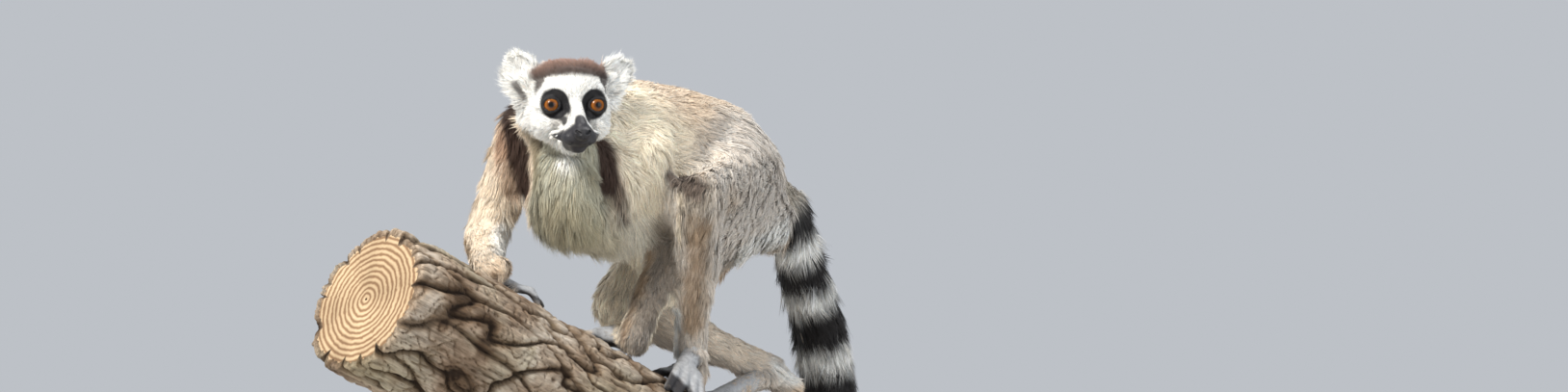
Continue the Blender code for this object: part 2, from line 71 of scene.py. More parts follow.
LAMPS = (  # to the camera's right, towards it, height, size, watts, tint
    ("key", -1.2, 1.6, 2.3, 0.8, 105, (1.0, 0.97, 0.92)),
    ("fill", 2.2, 1.7, 1.0, 2.2, 32, (0.92, 0.96, 1.0)),
    ("top", 0.3, -1.3, 2.6, 1.4, 22, (1.0, 0.99, 0.97)),
)
for name, right, forward, height, size, watts, tint in LAMPS:
    lamp = bpy.data.objects.new("lamp_" + name, bpy.data.lights.new("lamp_" + name, "AREA"))
    lamp.data.size = size
    lamp.data.energy = watts
    lamp.data.color = tint
    lamp.location = CAMERA_AIM + camera_right * right + towards_camera * forward
    lamp.location.z = height
    lamp.rotation_euler = (CAMERA_AIM - lamp.location).to_track_quat("-Z", "Y").to_euler()
    bpy.context.scene.collection.objects.link(lamp)

world = bpy.data.worlds.new("studio_air")
world.use_nodes = True
world.node_tree.nodes["Background"].inputs["Color"].default_value = (0.82, 0.86, 0.92, 1)
world.node_tree.nodes["Background"].inputs["Strength"].default_value = 0.62
bpy.context.scene.world = world


def new_material(name, **settings):
    """A material with its Principled shader's sockets set. Returns the material, its links and shader."""
    material = bpy.data.materials.new(name)
    material.use_nodes = True
    tree = material.node_tree
    shader = tree.nodes["Principled BSDF"]
    for socket, value in settings.items():
        shader.inputs[socket.replace("_", " ")].default_value = value
    return material, tree.links, shader


def add_node(tree, kind, links=(), **settings):
    """Adds a node. Settings are its properties, or its sockets' values where it has no such property."""
    node = tree.nodes.new("ShaderNode" + kind)
    for key, value in settings.items():
        if hasattr(node, key):
            setattr(node, key, value)
        else:
            node.inputs[key.replace("_", " ")].default_value = value
    for source, socket in links:
        tree.links.new(source, node.inputs[socket])
    return node


def ramp_node(tree, source, stops):
    """A colour ramp. Stops are (place, colour)."""
    node = tree.nodes.new("ShaderNodeValToRGB")
    elements = node.color_ramp.elements
    while len(elements) < len(stops):
        elements.new(0.5)
    for element, (place, colour) in zip(elements, stops):
        element.position = place
        element.color = (*colour, 1)
    tree.links.new(source, node.inputs["Fac"])
    return node


def mesh_from(name, points, faces):
    """A mesh from arrays: points in millimetres, and faces that all have the same number of corners."""
    points, faces = np.asarray(points, np.float32) * MM, np.asarray(faces, np.int32)
    mesh = bpy.data.meshes.new(name)
    mesh.vertices.add(len(points))
    mesh.vertices.foreach_set("co", points.ravel())
    mesh.loops.add(faces.size)
    mesh.loops.foreach_set("vertex_index", faces.ravel())
    mesh.polygons.add(len(faces))
    mesh.polygons.foreach_set("loop_start", np.arange(0, faces.size, faces.shape[1], dtype=np.int32))
    mesh.update(calc_edges=True)
    mesh.validate()
    return mesh


def add_object(name, mesh, material=None):
    made = bpy.data.objects.new(name, mesh)
    bpy.context.scene.collection.objects.link(made)
    if material:
        mesh.materials.append(material)
    return made


def lattice_faces(rows, columns, closed):
    """Quads between rows of points. Where closed, each row runs round to its own start."""
    row, column = np.meshgrid(np.arange(rows - 1), np.arange(columns if closed else columns - 1), indexing="ij")
    after = (column + 1) % columns
    quads = (
        row * columns + column, row * columns + after, (row + 1) * columns + after, (row + 1) * columns + column
    )
    return np.stack(quads, -1).reshape(-1, 4)


FLOOR_CENTRE = (2676, -2972)
FLOOR_RINGS = (1, 1500, 3500, 6000, 9000)  # the disc's radii, from its middle to its rim
around = np.radians(np.arange(0, 360, 2.5))
floor_points = [
    (FLOOR_CENTRE[0] + r * math.cos(a), FLOOR_CENTRE[1] + r * math.sin(a), 0)
    for r in FLOOR_RINGS for a in around
]
material, links, shader = new_material("studio_paper", Roughness=0.9)
mottle = add_node(material.node_tree, "TexNoise", Scale=3.0, Detail=4.0)
tone = ramp_node(material.node_tree, mottle.outputs["Fac"], ((0.3, (0.60, 0.60, 0.59)), (0.7, (0.64, 0.64, 0.63))))
links.new(tone.outputs["Color"], shader.inputs["Base Color"])
floor = add_object(
    "studio_floor", mesh_from("studio_floor", floor_points, lattice_faces(len(FLOOR_RINGS), len(around), True)),
    material
)


# ---------------------------------------------------------------- the stand
# A flat base of dark oiled wood, cut from one board with rounded corners, and two plain steel rods
# that stand in it and hold the branch from below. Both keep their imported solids.

material, links, shader = new_material("oiled_board", Roughness=0.38, Coat_Weight=0.25, Coat_Roughness=0.2)
tree = material.node_tree
place = add_node(tree, "TexCoord")
along = add_node(tree, "Mapping", [(place.outputs["Object"], "Vector")], Scale=(9.0, 0.9, 9.0))
grain = add_node(
    tree, "TexNoise", [(along.outputs["Vector"], "Vector")], Scale=9.0, Detail=9.0, Roughness=0.62, Distortion=0.6
)
figure = add_node(tree, "TexWave", [(along.outputs["Vector"], "Vector")], Scale=1.4, Distortion=7.0, Detail=4.0)
mix = add_node(tree, "Math", [(grain.outputs["Fac"], 0), (figure.outputs["Fac"], 1)], operation="MULTIPLY_ADD")
mix.inputs[2].default_value = 0.1
tone = ramp_node(
    tree, mix.outputs["Value"],
    ((0.15, (0.030, 0.014, 0.008)), (0.45, (0.085, 0.042, 0.022)), (0.8, (0.17, 0.09, 0.048)))
)
links.new(tone.outputs["Color"], shader.inputs["Base Color"])
pores = add_node(tree, "Bump", [(grain.outputs["Fac"], "Height")], Strength=0.25, Distance=0.0006)
links.new(pores.outputs["Normal"], shader.inputs["Normal"])
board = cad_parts["stand_base"]
board.data.materials.clear()
board.data.materials.append(material)

material, links, shader = new_material("turned_steel", Metallic=1.0, Roughness=0.3)
tree = material.node_tree
place = add_node(tree, "TexCoord")
rings = add_node(tree, "Mapping", [(place.outputs["Object"], "Vector")], Scale=(6.0, 6.0, 900.0))
lines = add_node(tree, "TexNoise", [(rings.outputs["Vector"], "Vector")], Scale=1.0, Detail=3.0)
tone = ramp_node(tree, lines.outputs["Fac"], ((0.3, (0.38, 0.38, 0.39)), (0.7, (0.56, 0.56, 0.57))))
links.new(tone.outputs["Color"], shader.inputs["Base Color"])
polish = ramp_node(tree, lines.outputs["Fac"], ((0.3, (0.24, 0.24, 0.24)), (0.7, (0.36, 0.36, 0.36))))
links.new(polish.outputs["Color"], shader.inputs["Roughness"])
for end in ("front", "rear"):
    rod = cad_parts["stand_rod_" + end]
    rod.data.materials.clear()
    rod.data.materials.append(material)


# ---------------------------------------------------------------- the branch
# A cut length of an old liana-like branch. Its bark is grown into long rounded ridges that weave past
# each other, with deep grooves between them. Both ends are sawn and show the growth rings.

PERCH_LENGTH = 500
PERCH_RADIUS = 58
PERCH_FRONT = Vector((0, -293, 366))
PERCH_YAW = 177.6
PERCH_PITCH = -23.5
BARK_SINK = 0.9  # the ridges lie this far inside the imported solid
RIDGES = 12
GROOVE_DEPTH = 6.5
PERCH_RINGS = 400
PERCH_SIDES = 260


def aim(yaw, pitch):
    """The unit direction turned by yaw from -Y towards +X, then raised by pitch."""
    yaw, pitch = math.radians(yaw), math.radians(pitch)
    return Vector((math.sin(yaw) * math.cos(pitch), -math.cos(yaw) * math.cos(pitch), math.sin(pitch)))


PERCH_AIM = aim(PERCH_YAW, PERCH_PITCH)
PERCH_CREST = (Vector((0, 0, 1)) - PERCH_AIM * PERCH_AIM.z).normalized()
PERCH_SIDE = PERCH_AIM.cross(PERCH_CREST)


RIPPLE_WAVES = 9  # how many waves make up one ripple


def ripple(points, scale, seed):
    """A smooth field between about -1 and 1 that wanders over a distance of scale, the sum of waves."""
    dice = np.random.default_rng(seed)
    ways = dice.normal(size=(RIPPLE_WAVES, 3))
    ways *= (dice.uniform(0.6, 1.7, RIPPLE_WAVES) / np.linalg.norm(ways, axis=1))[:, None]
    phases = dice.uniform(0, 2 * math.pi, RIPPLE_WAVES)
    return np.sin(points @ ways.T * (2 * math.pi / scale) + phases).sum(axis=1) / math.sqrt(RIPPLE_WAVES)


def bark_radius(along, turn):
    """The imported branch's radius, with its slow swells."""
    swell = 1.6 * np.sin(along / 61 + 1.1) + 1.2 * np.sin(along / 27)
    lobes = 1.5 * np.sin(2 * turn + along / 150) + 0.9 * np.sin(5 * turn + 1.7 - along / 90)
    return PERCH_RADIUS - 1.5 + swell * 0.5 + lobes


def bark_grooves(along, turn):
    """(depth below the ridges, how deep in a groove from 0 to 1) over the bark."""
    round_place = np.stack([along / 3.4, np.cos(turn) * 30, np.sin(turn) * 30], axis=1)
    close_place = np.stack([along / 1.6, np.cos(turn) * 58, np.sin(turn) * 58], axis=1)
    weave = 1.9 * ripple(round_place, 46, 3) + 0.8 * ripple(close_place, 31, 4)
    main = 1 - np.abs(np.sin((RIDGES * turn + weave * 1.6 + along / 90) / 2 * 1.0))
    braid = 1 - np.abs(np.sin((7 * turn - along / 38 + 2.4 * ripple(round_place, 33, 5)) / 2))
    fine = 1 - np.abs(np.sin(17 * turn + along / 26 + 3.2 * ripple(close_place, 24, 6)))
    cross = 1 - np.abs(np.sin(along / 9 + 3.0 * ripple(close_place, 40, 7) + 2 * turn))
    fibre_place = np.stack([along / 11, np.cos(turn) * 58, np.sin(turn) * 58], axis=1)
    fibre = 1 - np.abs(np.sin(21 * turn + 2.6 * ripple(round_place, 20, 10)))
    groove = np.clip(main ** 3.2 + 0.75 * braid ** 5, 0, 1)
    depth = GROOVE_DEPTH * groove + 2.0 * fine ** 4 * (1 - groove) + 0.35 * cross ** 7 + 0.9 * fibre ** 2
    depth += 0.6 * (1 + ripple(fibre_place, 5.0, 8)) + 0.4 * (1 + ripple(fibre_place, 2.6, 9))
    return depth, np.clip(groove + 0.45 * fine ** 4 + 0.12 * cross ** 7, 0, 1)


grid_along, grid_turn = np.meshgrid(
    np.linspace(0, PERCH_LENGTH, PERCH_RINGS), np.linspace(0, 2 * math.pi, PERCH_SIDES, endpoint=False), indexing="ij"
)
flat_along, flat_turn = grid_along.ravel(), grid_turn.ravel()
depth, groove = bark_grooves(flat_along, flat_turn)
from_end = np.minimum(flat_along, PERCH_LENGTH - flat_along)
radius = bark_radius(flat_along, flat_turn) - BARK_SINK - depth - 1.4 * np.exp(-from_end / 1.1)
axis, crest, side = (np.array(way) for way in (PERCH_AIM, PERCH_CREST, PERCH_SIDE))
centres = np.array(PERCH_FRONT) + flat_along[:, None] * axis
outward = np.cos(flat_turn)[:, None] * crest + np.sin(flat_turn)[:, None] * side
points = centres + outward * radius[:, None]
faces = lattice_faces(PERCH_RINGS, PERCH_SIDES, True)

# The sawn ends: rings of points from the bark in to the heart
END_RINGS = 12
extra_points, extra_faces, extra_groove = [], [], []
start = len(points)
for end, row in ((0, 0), (1, PERCH_RINGS - 1)):
    rim = points[row * PERCH_SIDES:(row + 1) * PERCH_SIDES]
    heart = np.array(PERCH_FRONT) + axis * (PERCH_LENGTH * end)
    previous = np.arange(row * PERCH_SIDES, (row + 1) * PERCH_SIDES)
    for ring in range(1, END_RINGS + 1):
        share = 1 - ring / (END_RINGS + 0.2)
        dish = axis * (0.5 * math.sin(ring * 2.1)) * (1 if end == 0 else -1)
        loop = heart + (rim - heart) * share + dish
        extra_points.append(loop)
        extra_groove.append(np.full(PERCH_SIDES, 0.3))
        current = np.arange(start, start + PERCH_SIDES)
        start += PERCH_SIDES
        quad = np.stack([previous, np.roll(previous, -1), np.roll(current, -1), current], axis=1)
        extra_faces.append(quad if end else quad[:, ::-1])
        previous = current
all_points = np.concatenate([points, *extra_points])
all_faces = np.concatenate([faces, *extra_faces])
branch_mesh = mesh_from("branch", all_points, all_faces)
branch_mesh.attributes.new("groove", "FLOAT", "POINT").data.foreach_set(
    "value", np.concatenate([groove, *extra_groove]).astype(np.float32)
)
grain_place = np.stack([
    (all_points - np.array(PERCH_FRONT)) @ side, (all_points - np.array(PERCH_FRONT)) @ crest,
    (all_points - np.array(PERCH_FRONT)) @ axis,
], axis=1) * MM
branch_mesh.attributes.new("grain_place", "FLOAT_VECTOR", "POINT").data.foreach_set(
    "vector", grain_place.astype(np.float32).ravel()
)

bark, links, shader = new_material("weathered_bark", Roughness=0.88, Specular_IOR_Level=0.25)
tree = bark.node_tree
depth_read = add_node(tree, "Attribute", attribute_name="groove")
place = add_node(tree, "Attribute", attribute_name="grain_place")
stretched = add_node(tree, "Mapping", [(place.outputs["Vector"], "Vector")], Scale=(1.0, 1.0, 0.11))
fibres = add_node(
    tree, "TexNoise", [(stretched.outputs["Vector"], "Vector")], Scale=260.0, Detail=8.0, Roughness=0.7
)
patches = add_node(tree, "TexNoise", [(place.outputs["Vector"], "Vector")], Scale=22.0, Detail=6.0, Roughness=0.6)
speck = add_node(tree, "TexVoronoi", [(stretched.outputs["Vector"], "Vector")], Scale=190.0)
crust = ramp_node(tree, patches.outputs["Fac"], (
    (0.30, (0.150, 0.102, 0.066)), (0.42, (0.27, 0.195, 0.135)), (0.52, (0.41, 0.33, 0.25)),
    (0.62, (0.54, 0.47, 0.39)), (0.74, (0.30, 0.23, 0.13)),
))
moss = add_node(tree, "TexNoise", [(place.outputs["Vector"], "Vector")], Scale=11.0, Detail=4.0)
moss_share = ramp_node(tree, moss.outputs["Fac"], ((0.52, (0, 0, 0)), (0.66, (0.5, 0.5, 0.5))))
mossy = add_node(tree, "Mix", [(moss_share.outputs["Color"], 0), (crust.outputs["Color"], 6)], data_type="RGBA")
mossy.inputs[7].default_value = (0.19, 0.17, 0.075, 1)
streaks = ramp_node(tree, fibres.outputs["Fac"], ((0.34, (0.34, 0.31, 0.28)), (0.60, (1.15, 1.13, 1.11))))
grainy = add_node(
    tree, "Mix", [(mossy.outputs[2], 6), (streaks.outputs["Color"], 7)], data_type="RGBA", blend_type="MULTIPLY"
)
grainy.inputs[0].default_value = 0.85
# The grooves are painted darker, down to a tenth of the bark's colour at their deepest: painted shade in the recesses.
shade = ramp_node(
    tree, depth_read.outputs["Fac"],
    ((0.05, (1.0, 1.0, 1.0)), (0.35, (0.48, 0.42, 0.36)), (0.8, (0.10, 0.075, 0.055)))
)
barked = add_node(
    tree, "Mix", [(grainy.outputs[2], 6), (shade.outputs["Color"], 7)], data_type="RGBA", blend_type="MULTIPLY"
)
barked.inputs[0].default_value = 1.0
links.new(barked.outputs[2], shader.inputs["Base Color"])
rough = add_node(
    tree, "Math", [(speck.outputs["Distance"], 0), (fibres.outputs["Fac"], 2)], operation="MULTIPLY_ADD"
)
rough.inputs[1].default_value = 0.25
bumps = add_node(tree, "Bump", [(rough.outputs["Value"], "Height")], Strength=0.9, Distance=0.0016)
links.new(bumps.outputs["Normal"], shader.inputs["Normal"])

sawn, links, shader = new_material("sawn_end_grain", Roughness=0.8)
tree = sawn.node_tree
place = add_node(tree, "Attribute", attribute_name="grain_place")
wobble = add_node(tree, "TexNoise", [(place.outputs["Vector"], "Vector")], Scale=24.0, Detail=4.0)
years = add_node(tree, "TexWave", [(place.outputs["Vector"], "Vector")], wave_type="RINGS", rings_direction="Z",
                 Scale=72.0, Distortion=2.2, Detail=3.0)
years.inputs["Detail Scale"].default_value = 1.6
tone = ramp_node(
    tree, years.outputs["Fac"], ((0.1, (0.26, 0.15, 0.075)), (0.6, (0.52, 0.36, 0.21)), (0.95, (0.60, 0.45, 0.28)))
)
dull = ramp_node(tree, wobble.outputs["Fac"], ((0.35, (0.55, 0.52, 0.48)), (0.65, (1.0, 1.0, 1.0))))
worn = add_node(
    tree, "Mix", [(tone.outputs["Color"], 6), (dull.outputs["Color"], 7)], data_type="RGBA", blend_type="MULTIPLY"
)
worn.inputs[0].default_value = 0.8
links.new(worn.outputs[2], shader.inputs["Base Color"])
saw_marks = add_node(tree, "Bump", [(years.outputs["Fac"], "Height")], Strength=0.4, Distance=0.0005)
links.new(saw_marks.outputs["Normal"], shader.inputs["Normal"])

branch = add_object("branch_bark", branch_mesh, bark)
branch_mesh.materials.append(sawn)
slots = np.zeros(len(all_faces), np.int32)
slots[len(faces) + PERCH_SIDES:len(faces) + PERCH_SIDES * END_RINGS] = 1
slots[len(faces) + PERCH_SIDES * (END_RINGS + 1):] = 1
branch_mesh.polygons.foreach_set("material_index", slots)
branch_mesh.shade_smooth()
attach(branch, "root")
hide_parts("perch_branch")


# ---------------------------------------------------------------- the lemur's bones
# Not pieces: the lines that the skin and the coat are measured from. Each has the half widths of the
# flesh at its two ends, the coat's depth there, and how its hairs are laid.

LEFTWARD = {"left": 1, "right": -1}
HEAD_PLACE = Vector((47, -129, 506))  # midway between the pupils
HEAD_YAW = 56
HEAD_PITCH = -8
HEAD = (
    Matrix.Translation(HEAD_PLACE) @ Matrix.Rotation(math.radians(HEAD_YAW), 4, "Z")
    @ Matrix.Rotation(math.radians(-HEAD_PITCH), 4, "X")
)
EAR_AIM = {"left": (0.82, 0.14, 0.55), "right": (-0.56, 0.12, 0.80)}
EAR_BASE = (29, 34, 14)
NECK_PLACE = np.array((20, -111, 492))
NECK_NORMAL = np.array((0.4465, -0.5321, 0.7193))
TAIL = (  # (distance along it, place)
    (0, (1, 150, 438)), (38, (-2, 168, 405)), (75, (-5, 186, 372)), (112, (-9, 204, 340)), (150, (-11, 217, 305)),
    (188, (-12, 224, 268)), (225, (-13, 227, 231)), (262, (-13, 230, 193)), (300, (-14, 233, 156)),
    (338, (-15, 238, 119)), (375, (-17, 251, 84)), (412, (-21, 275, 56)), (450, (-27, 309, 41)),
    (488, (-33, 345, 41)), (525, (-39, 378, 58)), (556, (-44, 398, 80)),
)


def on_perch(along, turn, height):
    """A place above the bark: distance from the front end, degrees from the crest to the left."""
    turn = math.radians(turn)
    outward = PERCH_CREST * math.cos(turn) + PERCH_SIDE * math.sin(turn)
    return PERCH_FRONT + PERCH_AIM * along + outward * (PERCH_RADIUS + height)


def ear_frame(side):
    """Its +Z runs up the ear and its -Y looks into the ear's cup."""
    upward = Vector(EAR_AIM[side]).normalized()
    out = LEFTWARD[side]
    facing = Vector((out * 0.42, -0.9, 0.0))
    facing = (facing - upward * facing.dot(upward)).normalized()
    turn = Matrix((upward.cross(facing), -facing, upward)).transposed().to_4x4()
    return HEAD @ Matrix.Translation((out * EAR_BASE[0], EAR_BASE[1], EAR_BASE[2])) @ turn


# Each digit: its knuckle, its middle and its tip on the branch, as (along, turn, height)
HANDS = {
    "right": {
        "palm": ((112, -6, 13), (122, -14, 9)),
        "digits": (
            ((130, -3, 10), (143, 1, 17), (151, 5, 13)),
            ((110, -20, 7), (98, -27, 6), (86, -36, 4)),
            ((113, -28, 7), (103, -39, 6), (92, -52, 4)),
            ((119, -31, 7), (112, -46, 6), (104, -60, 4)),
            ((125, -27, 7), (123, -42, 6), (119, -54, 4)),
        ),
    },
    "left": {
        "palm": ((244, -2, 12), (234, -12, 9)),
        "digits": (
            ((246, -17, 7), (254, -30, 5), (260, -41, 4)),
            ((222, -9, 7), (208, -13, 6), (194, -17, 4)),
            ((222, -18, 7), (209, -26, 6), (196, -34, 4)),
            ((227, -27, 7), (216, -38, 6), (205, -48, 4)),
            ((234, -30, 7), (228, -43, 6), (220, -55, 4)),
        ),
    },
}
FEET = {
    "left": {
        "palm": ((308, 9, 24), (297, 16, 12)),
        "heel": (323, 3, 17),
        "digits": (
            ((303, 4, 10), (297, -4, 8), (290, -10, 4)),
            ((290, 19, 11), (278, 31, 9), (269, 44, 4)),
            ((294, 24, 11), (284, 38, 9), (275, 52, 4)),
            ((300, 27, 11), (292, 43, 9), (284, 58, 4)),
            ((306, 28, 11), (301, 44, 8), (295, 58, 4)),
        ),
    },
    "right": {
        "palm": ((404, -1, 44), (366, -6, 10)),
        "heel": (424, 2, 42),
        "digits": (
            ((374, 6, 8), (364, 17, 6), (353, 28, 4)),
            ((354, -2, 7), (338, -3, 6), (322, -4, 4)),
            ((354, -9, 7), (338, -13, 6), (323, -17, 4)),
            ((358, -16, 7), (344, -24, 6), (331, -32, 4)),
            ((364, -21, 7), (352, -32, 6), (342, -43, 4)),
        ),
    },
}


TIP_SET = 0.9  # each fingertip settles this far into the bark under it
TIP_RADIUS = 2.9
SETTLING = (0.4, 0.75, 1.0)  # how far knuckle, middle and tip come down with it


def bark_height(along, turn):
    """How far the bark's highest place about here stands above the branch's even radius."""
    reach = np.array((-2.0, 0.0, 2.0))
    near_along, near_turn = (grid.ravel() for grid in np.meshgrid(along + reach, np.radians(turn + reach)))
    sunk, _ = bark_grooves(near_along, near_turn)
    return float((bark_radius(near_along, near_turn) - BARK_SINK - sunk).max()) - PERCH_RADIUS


def digit_places(stations):
    """The three places of a digit, knuckle, middle and tip, brought down until the tip lies on the bark."""
    tip_along, tip_turn, tip_height = stations[2]
    drop = max(tip_height - (bark_height(tip_along, tip_turn) + TIP_RADIUS - TIP_SET), 0)
    return [
        on_perch(along, turn, height - drop * share) for (along, turn, height), share in zip(stations, SETTLING)
    ]


def in_head(place):
    return tuple(HEAD @ Vector(place))


# name, start, end, half width at start and end, coat depth, hair length, hair width, lift in degrees,
# droop, hairs to a square millimetre, coat piece
BONES = [
    ("skull", in_head((0, 6, 8)), in_head((0, 48, 4)), 27, 27, 4.0, 8.0, 0.52, 38, 0.0, 3.6, "coat_head"),
    ("face", in_head((0, -26, -14)), in_head((0, 8, 2)), 10, 25, 2.6, 4.6, 0.38, 32, 0.0, 6.6, "coat_head"),
    ("nape", (18, -92, 496), (4, -50, 492), 36, 42, 8.0, 14, 0.72, 40, 0.1, 2.1, "coat_neck"),
    ("throat", (33, -118, 478), (20, -92, 440), 26, 34, 9.0, 12.5, 0.66, 36, 0.25, 2.3, "coat_breast"),
    ("breast", (14, -92, 436), (-6, -40, 424), 32, 34, 10.0, 14, 0.66, 36, 0.3, 2.1, "coat_breast"),
    ("withers", (2, -44, 482), (-8, 26, 474), 42, 48, 7.5, 13, 0.70, 38, 0.1, 2.2, "coat_back"),
    ("loin", (-8, 26, 474), (-12, 80, 468), 48, 46, 7.5, 13, 0.70, 38, 0.1, 2.2, "coat_rump"),
    ("rump", (-12, 80, 468), (-8, 134, 452), 44, 34, 7.5, 13, 0.70, 36, 0.15, 2.3, "coat_rump"),
    ("belly", (-6, -40, 430), (-9, 40, 436), 34, 38, 8.5, 14, 0.66, 36, 0.35, 1.9, "coat_back"),
]
for at, ((near_at, near), (far_at, far)) in enumerate(zip(TAIL, TAIL[1:])):
    thick = 22 if near_at < 460 else 22 - (near_at - 460) * 0.11
    piece = "coat_tail_upper" if near_at < 250 else "coat_tail_lower"
    BONES.append((f"tail_{at}", near, far, thick, thick, 8.0, 19.5, 0.74, 46, 0.1, 2.3, piece))
LIMBS = (
    ("upper_arm_left", (31, -41, 476), (14, 7, 402), 25, 20, 6.0, 12, 0.66, 34, 0.1, 2.3, "coat_arm_left"),
    ("forearm_left", (14, 7, 402), (26, -45, 331), 20, 14, 4.2, 8.5, 0.56, 32, 0.1, 3.0, "coat_arm_left"),
    ("upper_arm_right", (-39, -95, 492), (-75, -103, 410), 25, 20, 6.0, 12, 0.66, 34, 0.1, 2.3, "coat_arm_right"),
    ("forearm_right", (-75, -103, 410), (-12, -162, 387), 20, 14, 4.4, 9.0, 0.56, 34, 0.2, 3.0, "coat_arm_right"),
    ("thigh_left", (10, 100, 453), (71, -19, 442), 38, 23, 6.5, 11.5, 0.66, 33, 0.1, 2.4, "coat_thigh_left"),
    ("ham_left", (24, 112, 424), (58, -8, 412), 28, 19, 6.5, 11.5, 0.66, 33, 0.15, 2.3, "coat_thigh_left"),
    ("shank_left", (71, -19, 442), (18, 26, 322), 21, 14.5, 4.6, 9.0, 0.6, 36, 0.15, 2.8, "coat_shank_left"),
    ("thigh_right", (-32, 102, 455), (-50, 12, 357), 36, 23, 6.5, 12, 0.75, 34, 0.1, 1.7, "coat_thigh_right"),
    ("ham_right", (-40, 112, 424), (-48, 40, 372), 28, 19, 6.5, 12, 0.75, 34, 0.15, 1.7, "coat_thigh_right"),
    ("shank_right", (-50, 12, 357), (12, 123, 303), 21, 14.5, 4.6, 9.5, 0.62, 34, 0.2, 2.4, "coat_shank_right"),
)
BONES.extend(LIMBS)
JOINTS = {
    "hand_left": (26, -45, 331), "hand_right": (-12, -162, 387), "foot_left": (18, 26, 322),
    "foot_right": (12, 123, 303)
}
EXTREMITIES = []  # the bones of hands and feet, and of their digits
for part, plans in (("hand_", HANDS), ("foot_", FEET)):
    for side, plan in plans.items():
        palm = on_perch(*plan["palm"][1])
        tips = [on_perch(*stations[2]) for stations in plan["digits"][1:]]
        middle = sum(tips, Vector()) / len(tips)
        thumb = on_perch(*plan["digits"][0][2])
        piece = ("coat_arm_" if part == "hand_" else "coat_shank_") + side
        limb = part + side
        laid = (0.9, 4.2, 0.42, 24, 0.0, 3.4, piece)
        fine = (0.4, 2.6, 0.36, 20, 0.0, 2.0, piece)
        BONES.append((limb, JOINTS[limb], tuple(palm), 11, 8, *laid))
        BONES.append((limb + "_fingers", tuple(palm), tuple(middle), 9, 12, *fine))
        BONES.append((limb + "_thumb", tuple(palm), tuple(thumb), 6, 4, *fine))
        EXTREMITIES.extend((limb, limb + "_fingers", limb + "_thumb"))
EAR_REACH = 26  # base to tip of the ear's own skin
EAR_SKIN_SHORT = 7  # the skin's bars stop this far below the tip, and the hair goes on
for side in ("left", "right"):
    foot, tip = ear_frame(side) @ Vector((0, 0, 4)), ear_frame(side) @ Vector((0, 1, EAR_REACH))
    BONES.append((f"ear_{side}", tuple(foot), tuple(tip), 11, 8, 2.0, 9.5, 0.46, 26, 0.0, 5.0, "coat_ears"))
BONE_AT = {row[0]: at for at, row in enumerate(BONES)}
BONE_START = np.array([row[1] for row in BONES], float)
BONE_END = np.array([row[2] for row in BONES], float)
BONE_NUMBERS = np.array([row[3:11] for row in BONES], float)
BONE_PIECES = [row[11] for row in BONES]


def near_bones(points, sharpness=9.0):
    """(share of each bone, place along each from 0 to 1, nearest bone) for every point."""
    shares = np.empty((len(points), len(BONES)), np.float32)
    along = np.empty_like(shares)
    for at in range(len(BONES)):
        line = BONE_END[at] - BONE_START[at]
        share = np.clip((points - BONE_START[at]) @ line / (line @ line), 0, 1)
        gap = np.linalg.norm(points - (BONE_START[at] + share[:, None] * line), axis=1)
        width = BONE_NUMBERS[at, 0] + (BONE_NUMBERS[at, 1] - BONE_NUMBERS[at, 0]) * share
        shares[:, at] = gap / width
        along[:, at] = share
    nearest = np.argmin(shares, axis=1)
    weights = np.exp(-sharpness * (shares - shares.min(axis=1, keepdims=True)))
    return weights / weights.sum(axis=1, keepdims=True), along, nearest


def blended(weights, column):
    return weights @ BONE_NUMBERS[:, column]


def to_head(points):
    """Places in the head's own frame: x to its left, y back, z up."""
    inverse = np.array(HEAD.inverted())
    return points @ inverse[:3, :3].T + inverse[:3, 3]


def smooth_step(low, high, value):
    share = np.clip((value - low) / (high - low), 0, 1)
    return share * share * (3 - 2 * share)


def rod_mask(points, start, end, start_radius, end_radius, soft):
    """1 within a tapered bar about the line from start to end, fading to 0 over soft."""
    start, line = np.array(start, float), np.array(end, float) - np.array(start, float)
    share = np.clip((points - start) @ line / max(line @ line, 1e-9), 0, 1)
    gap = np.linalg.norm(points - (start + share[:, None] * line), axis=1)
    radius = start_radius + (end_radius - start_radius) * share
    return 1 - smooth_step(radius - soft / 2, radius + soft / 2, gap)


def on_head(points):
    """How far each point is on the head's side of the neck, from 0 to 1."""
    return smooth_step(-3, 3, (points - NECK_PLACE) @ NECK_NORMAL)


EYE_RADIUS = 8.6
EYE_OUT = 16.6
EYE_BACK = 7.6
GAZE = {"left": (62, 2), "right": (48, 2)}


def bare_share(points):
    """1 on the bare skin of nose, nose ridge, lips and mouth corners, 0 under the coat."""
    local = to_head(points)
    out, back, up = np.abs(local[:, 0]), local[:, 1], local[:, 2]
    muzzle = smooth_step(1.2, -1.2, up + 4.6 + 0.97 * out) * smooth_step(2, -2, back) * smooth_step(-36, -32.5, up)
    ridge = rod_mask(local, (0, -13, -5.5), (0, -30, -9), 2.2, 5.6, 1.6)
    corner = rod_mask(np.stack([out, back, up], 1), (9, -18, -20), (16.5, -6, -19.6), 3.2, 1.6, 1.2)
    return np.maximum(np.maximum(muzzle, ridge), corner) * (on_head(points) > 0.5)


# ---------------------------------------------------------------- the colours of the coat
# The lemur's markings, laid over skin and hair alike: black eye patches and tail rings, a dark cap,
# white face and belly, cream shoulders, tan back, silver-grey haunches, dark stripes down the neck.
# Some marks hold painted light and shade: a greyer, darker throat and breast, a lighter top to the cap,
# a dark line under the left ear and a paler far knee.

def tint(red, green, blue):
    """A colour as the eye counts it, 0 to 255, turned to light's own scale."""
    value = np.array((red, green, blue)) / 255
    return np.where(value <= 0.04045, value / 12.92, ((value + 0.055) / 1.055) ** 2.4)


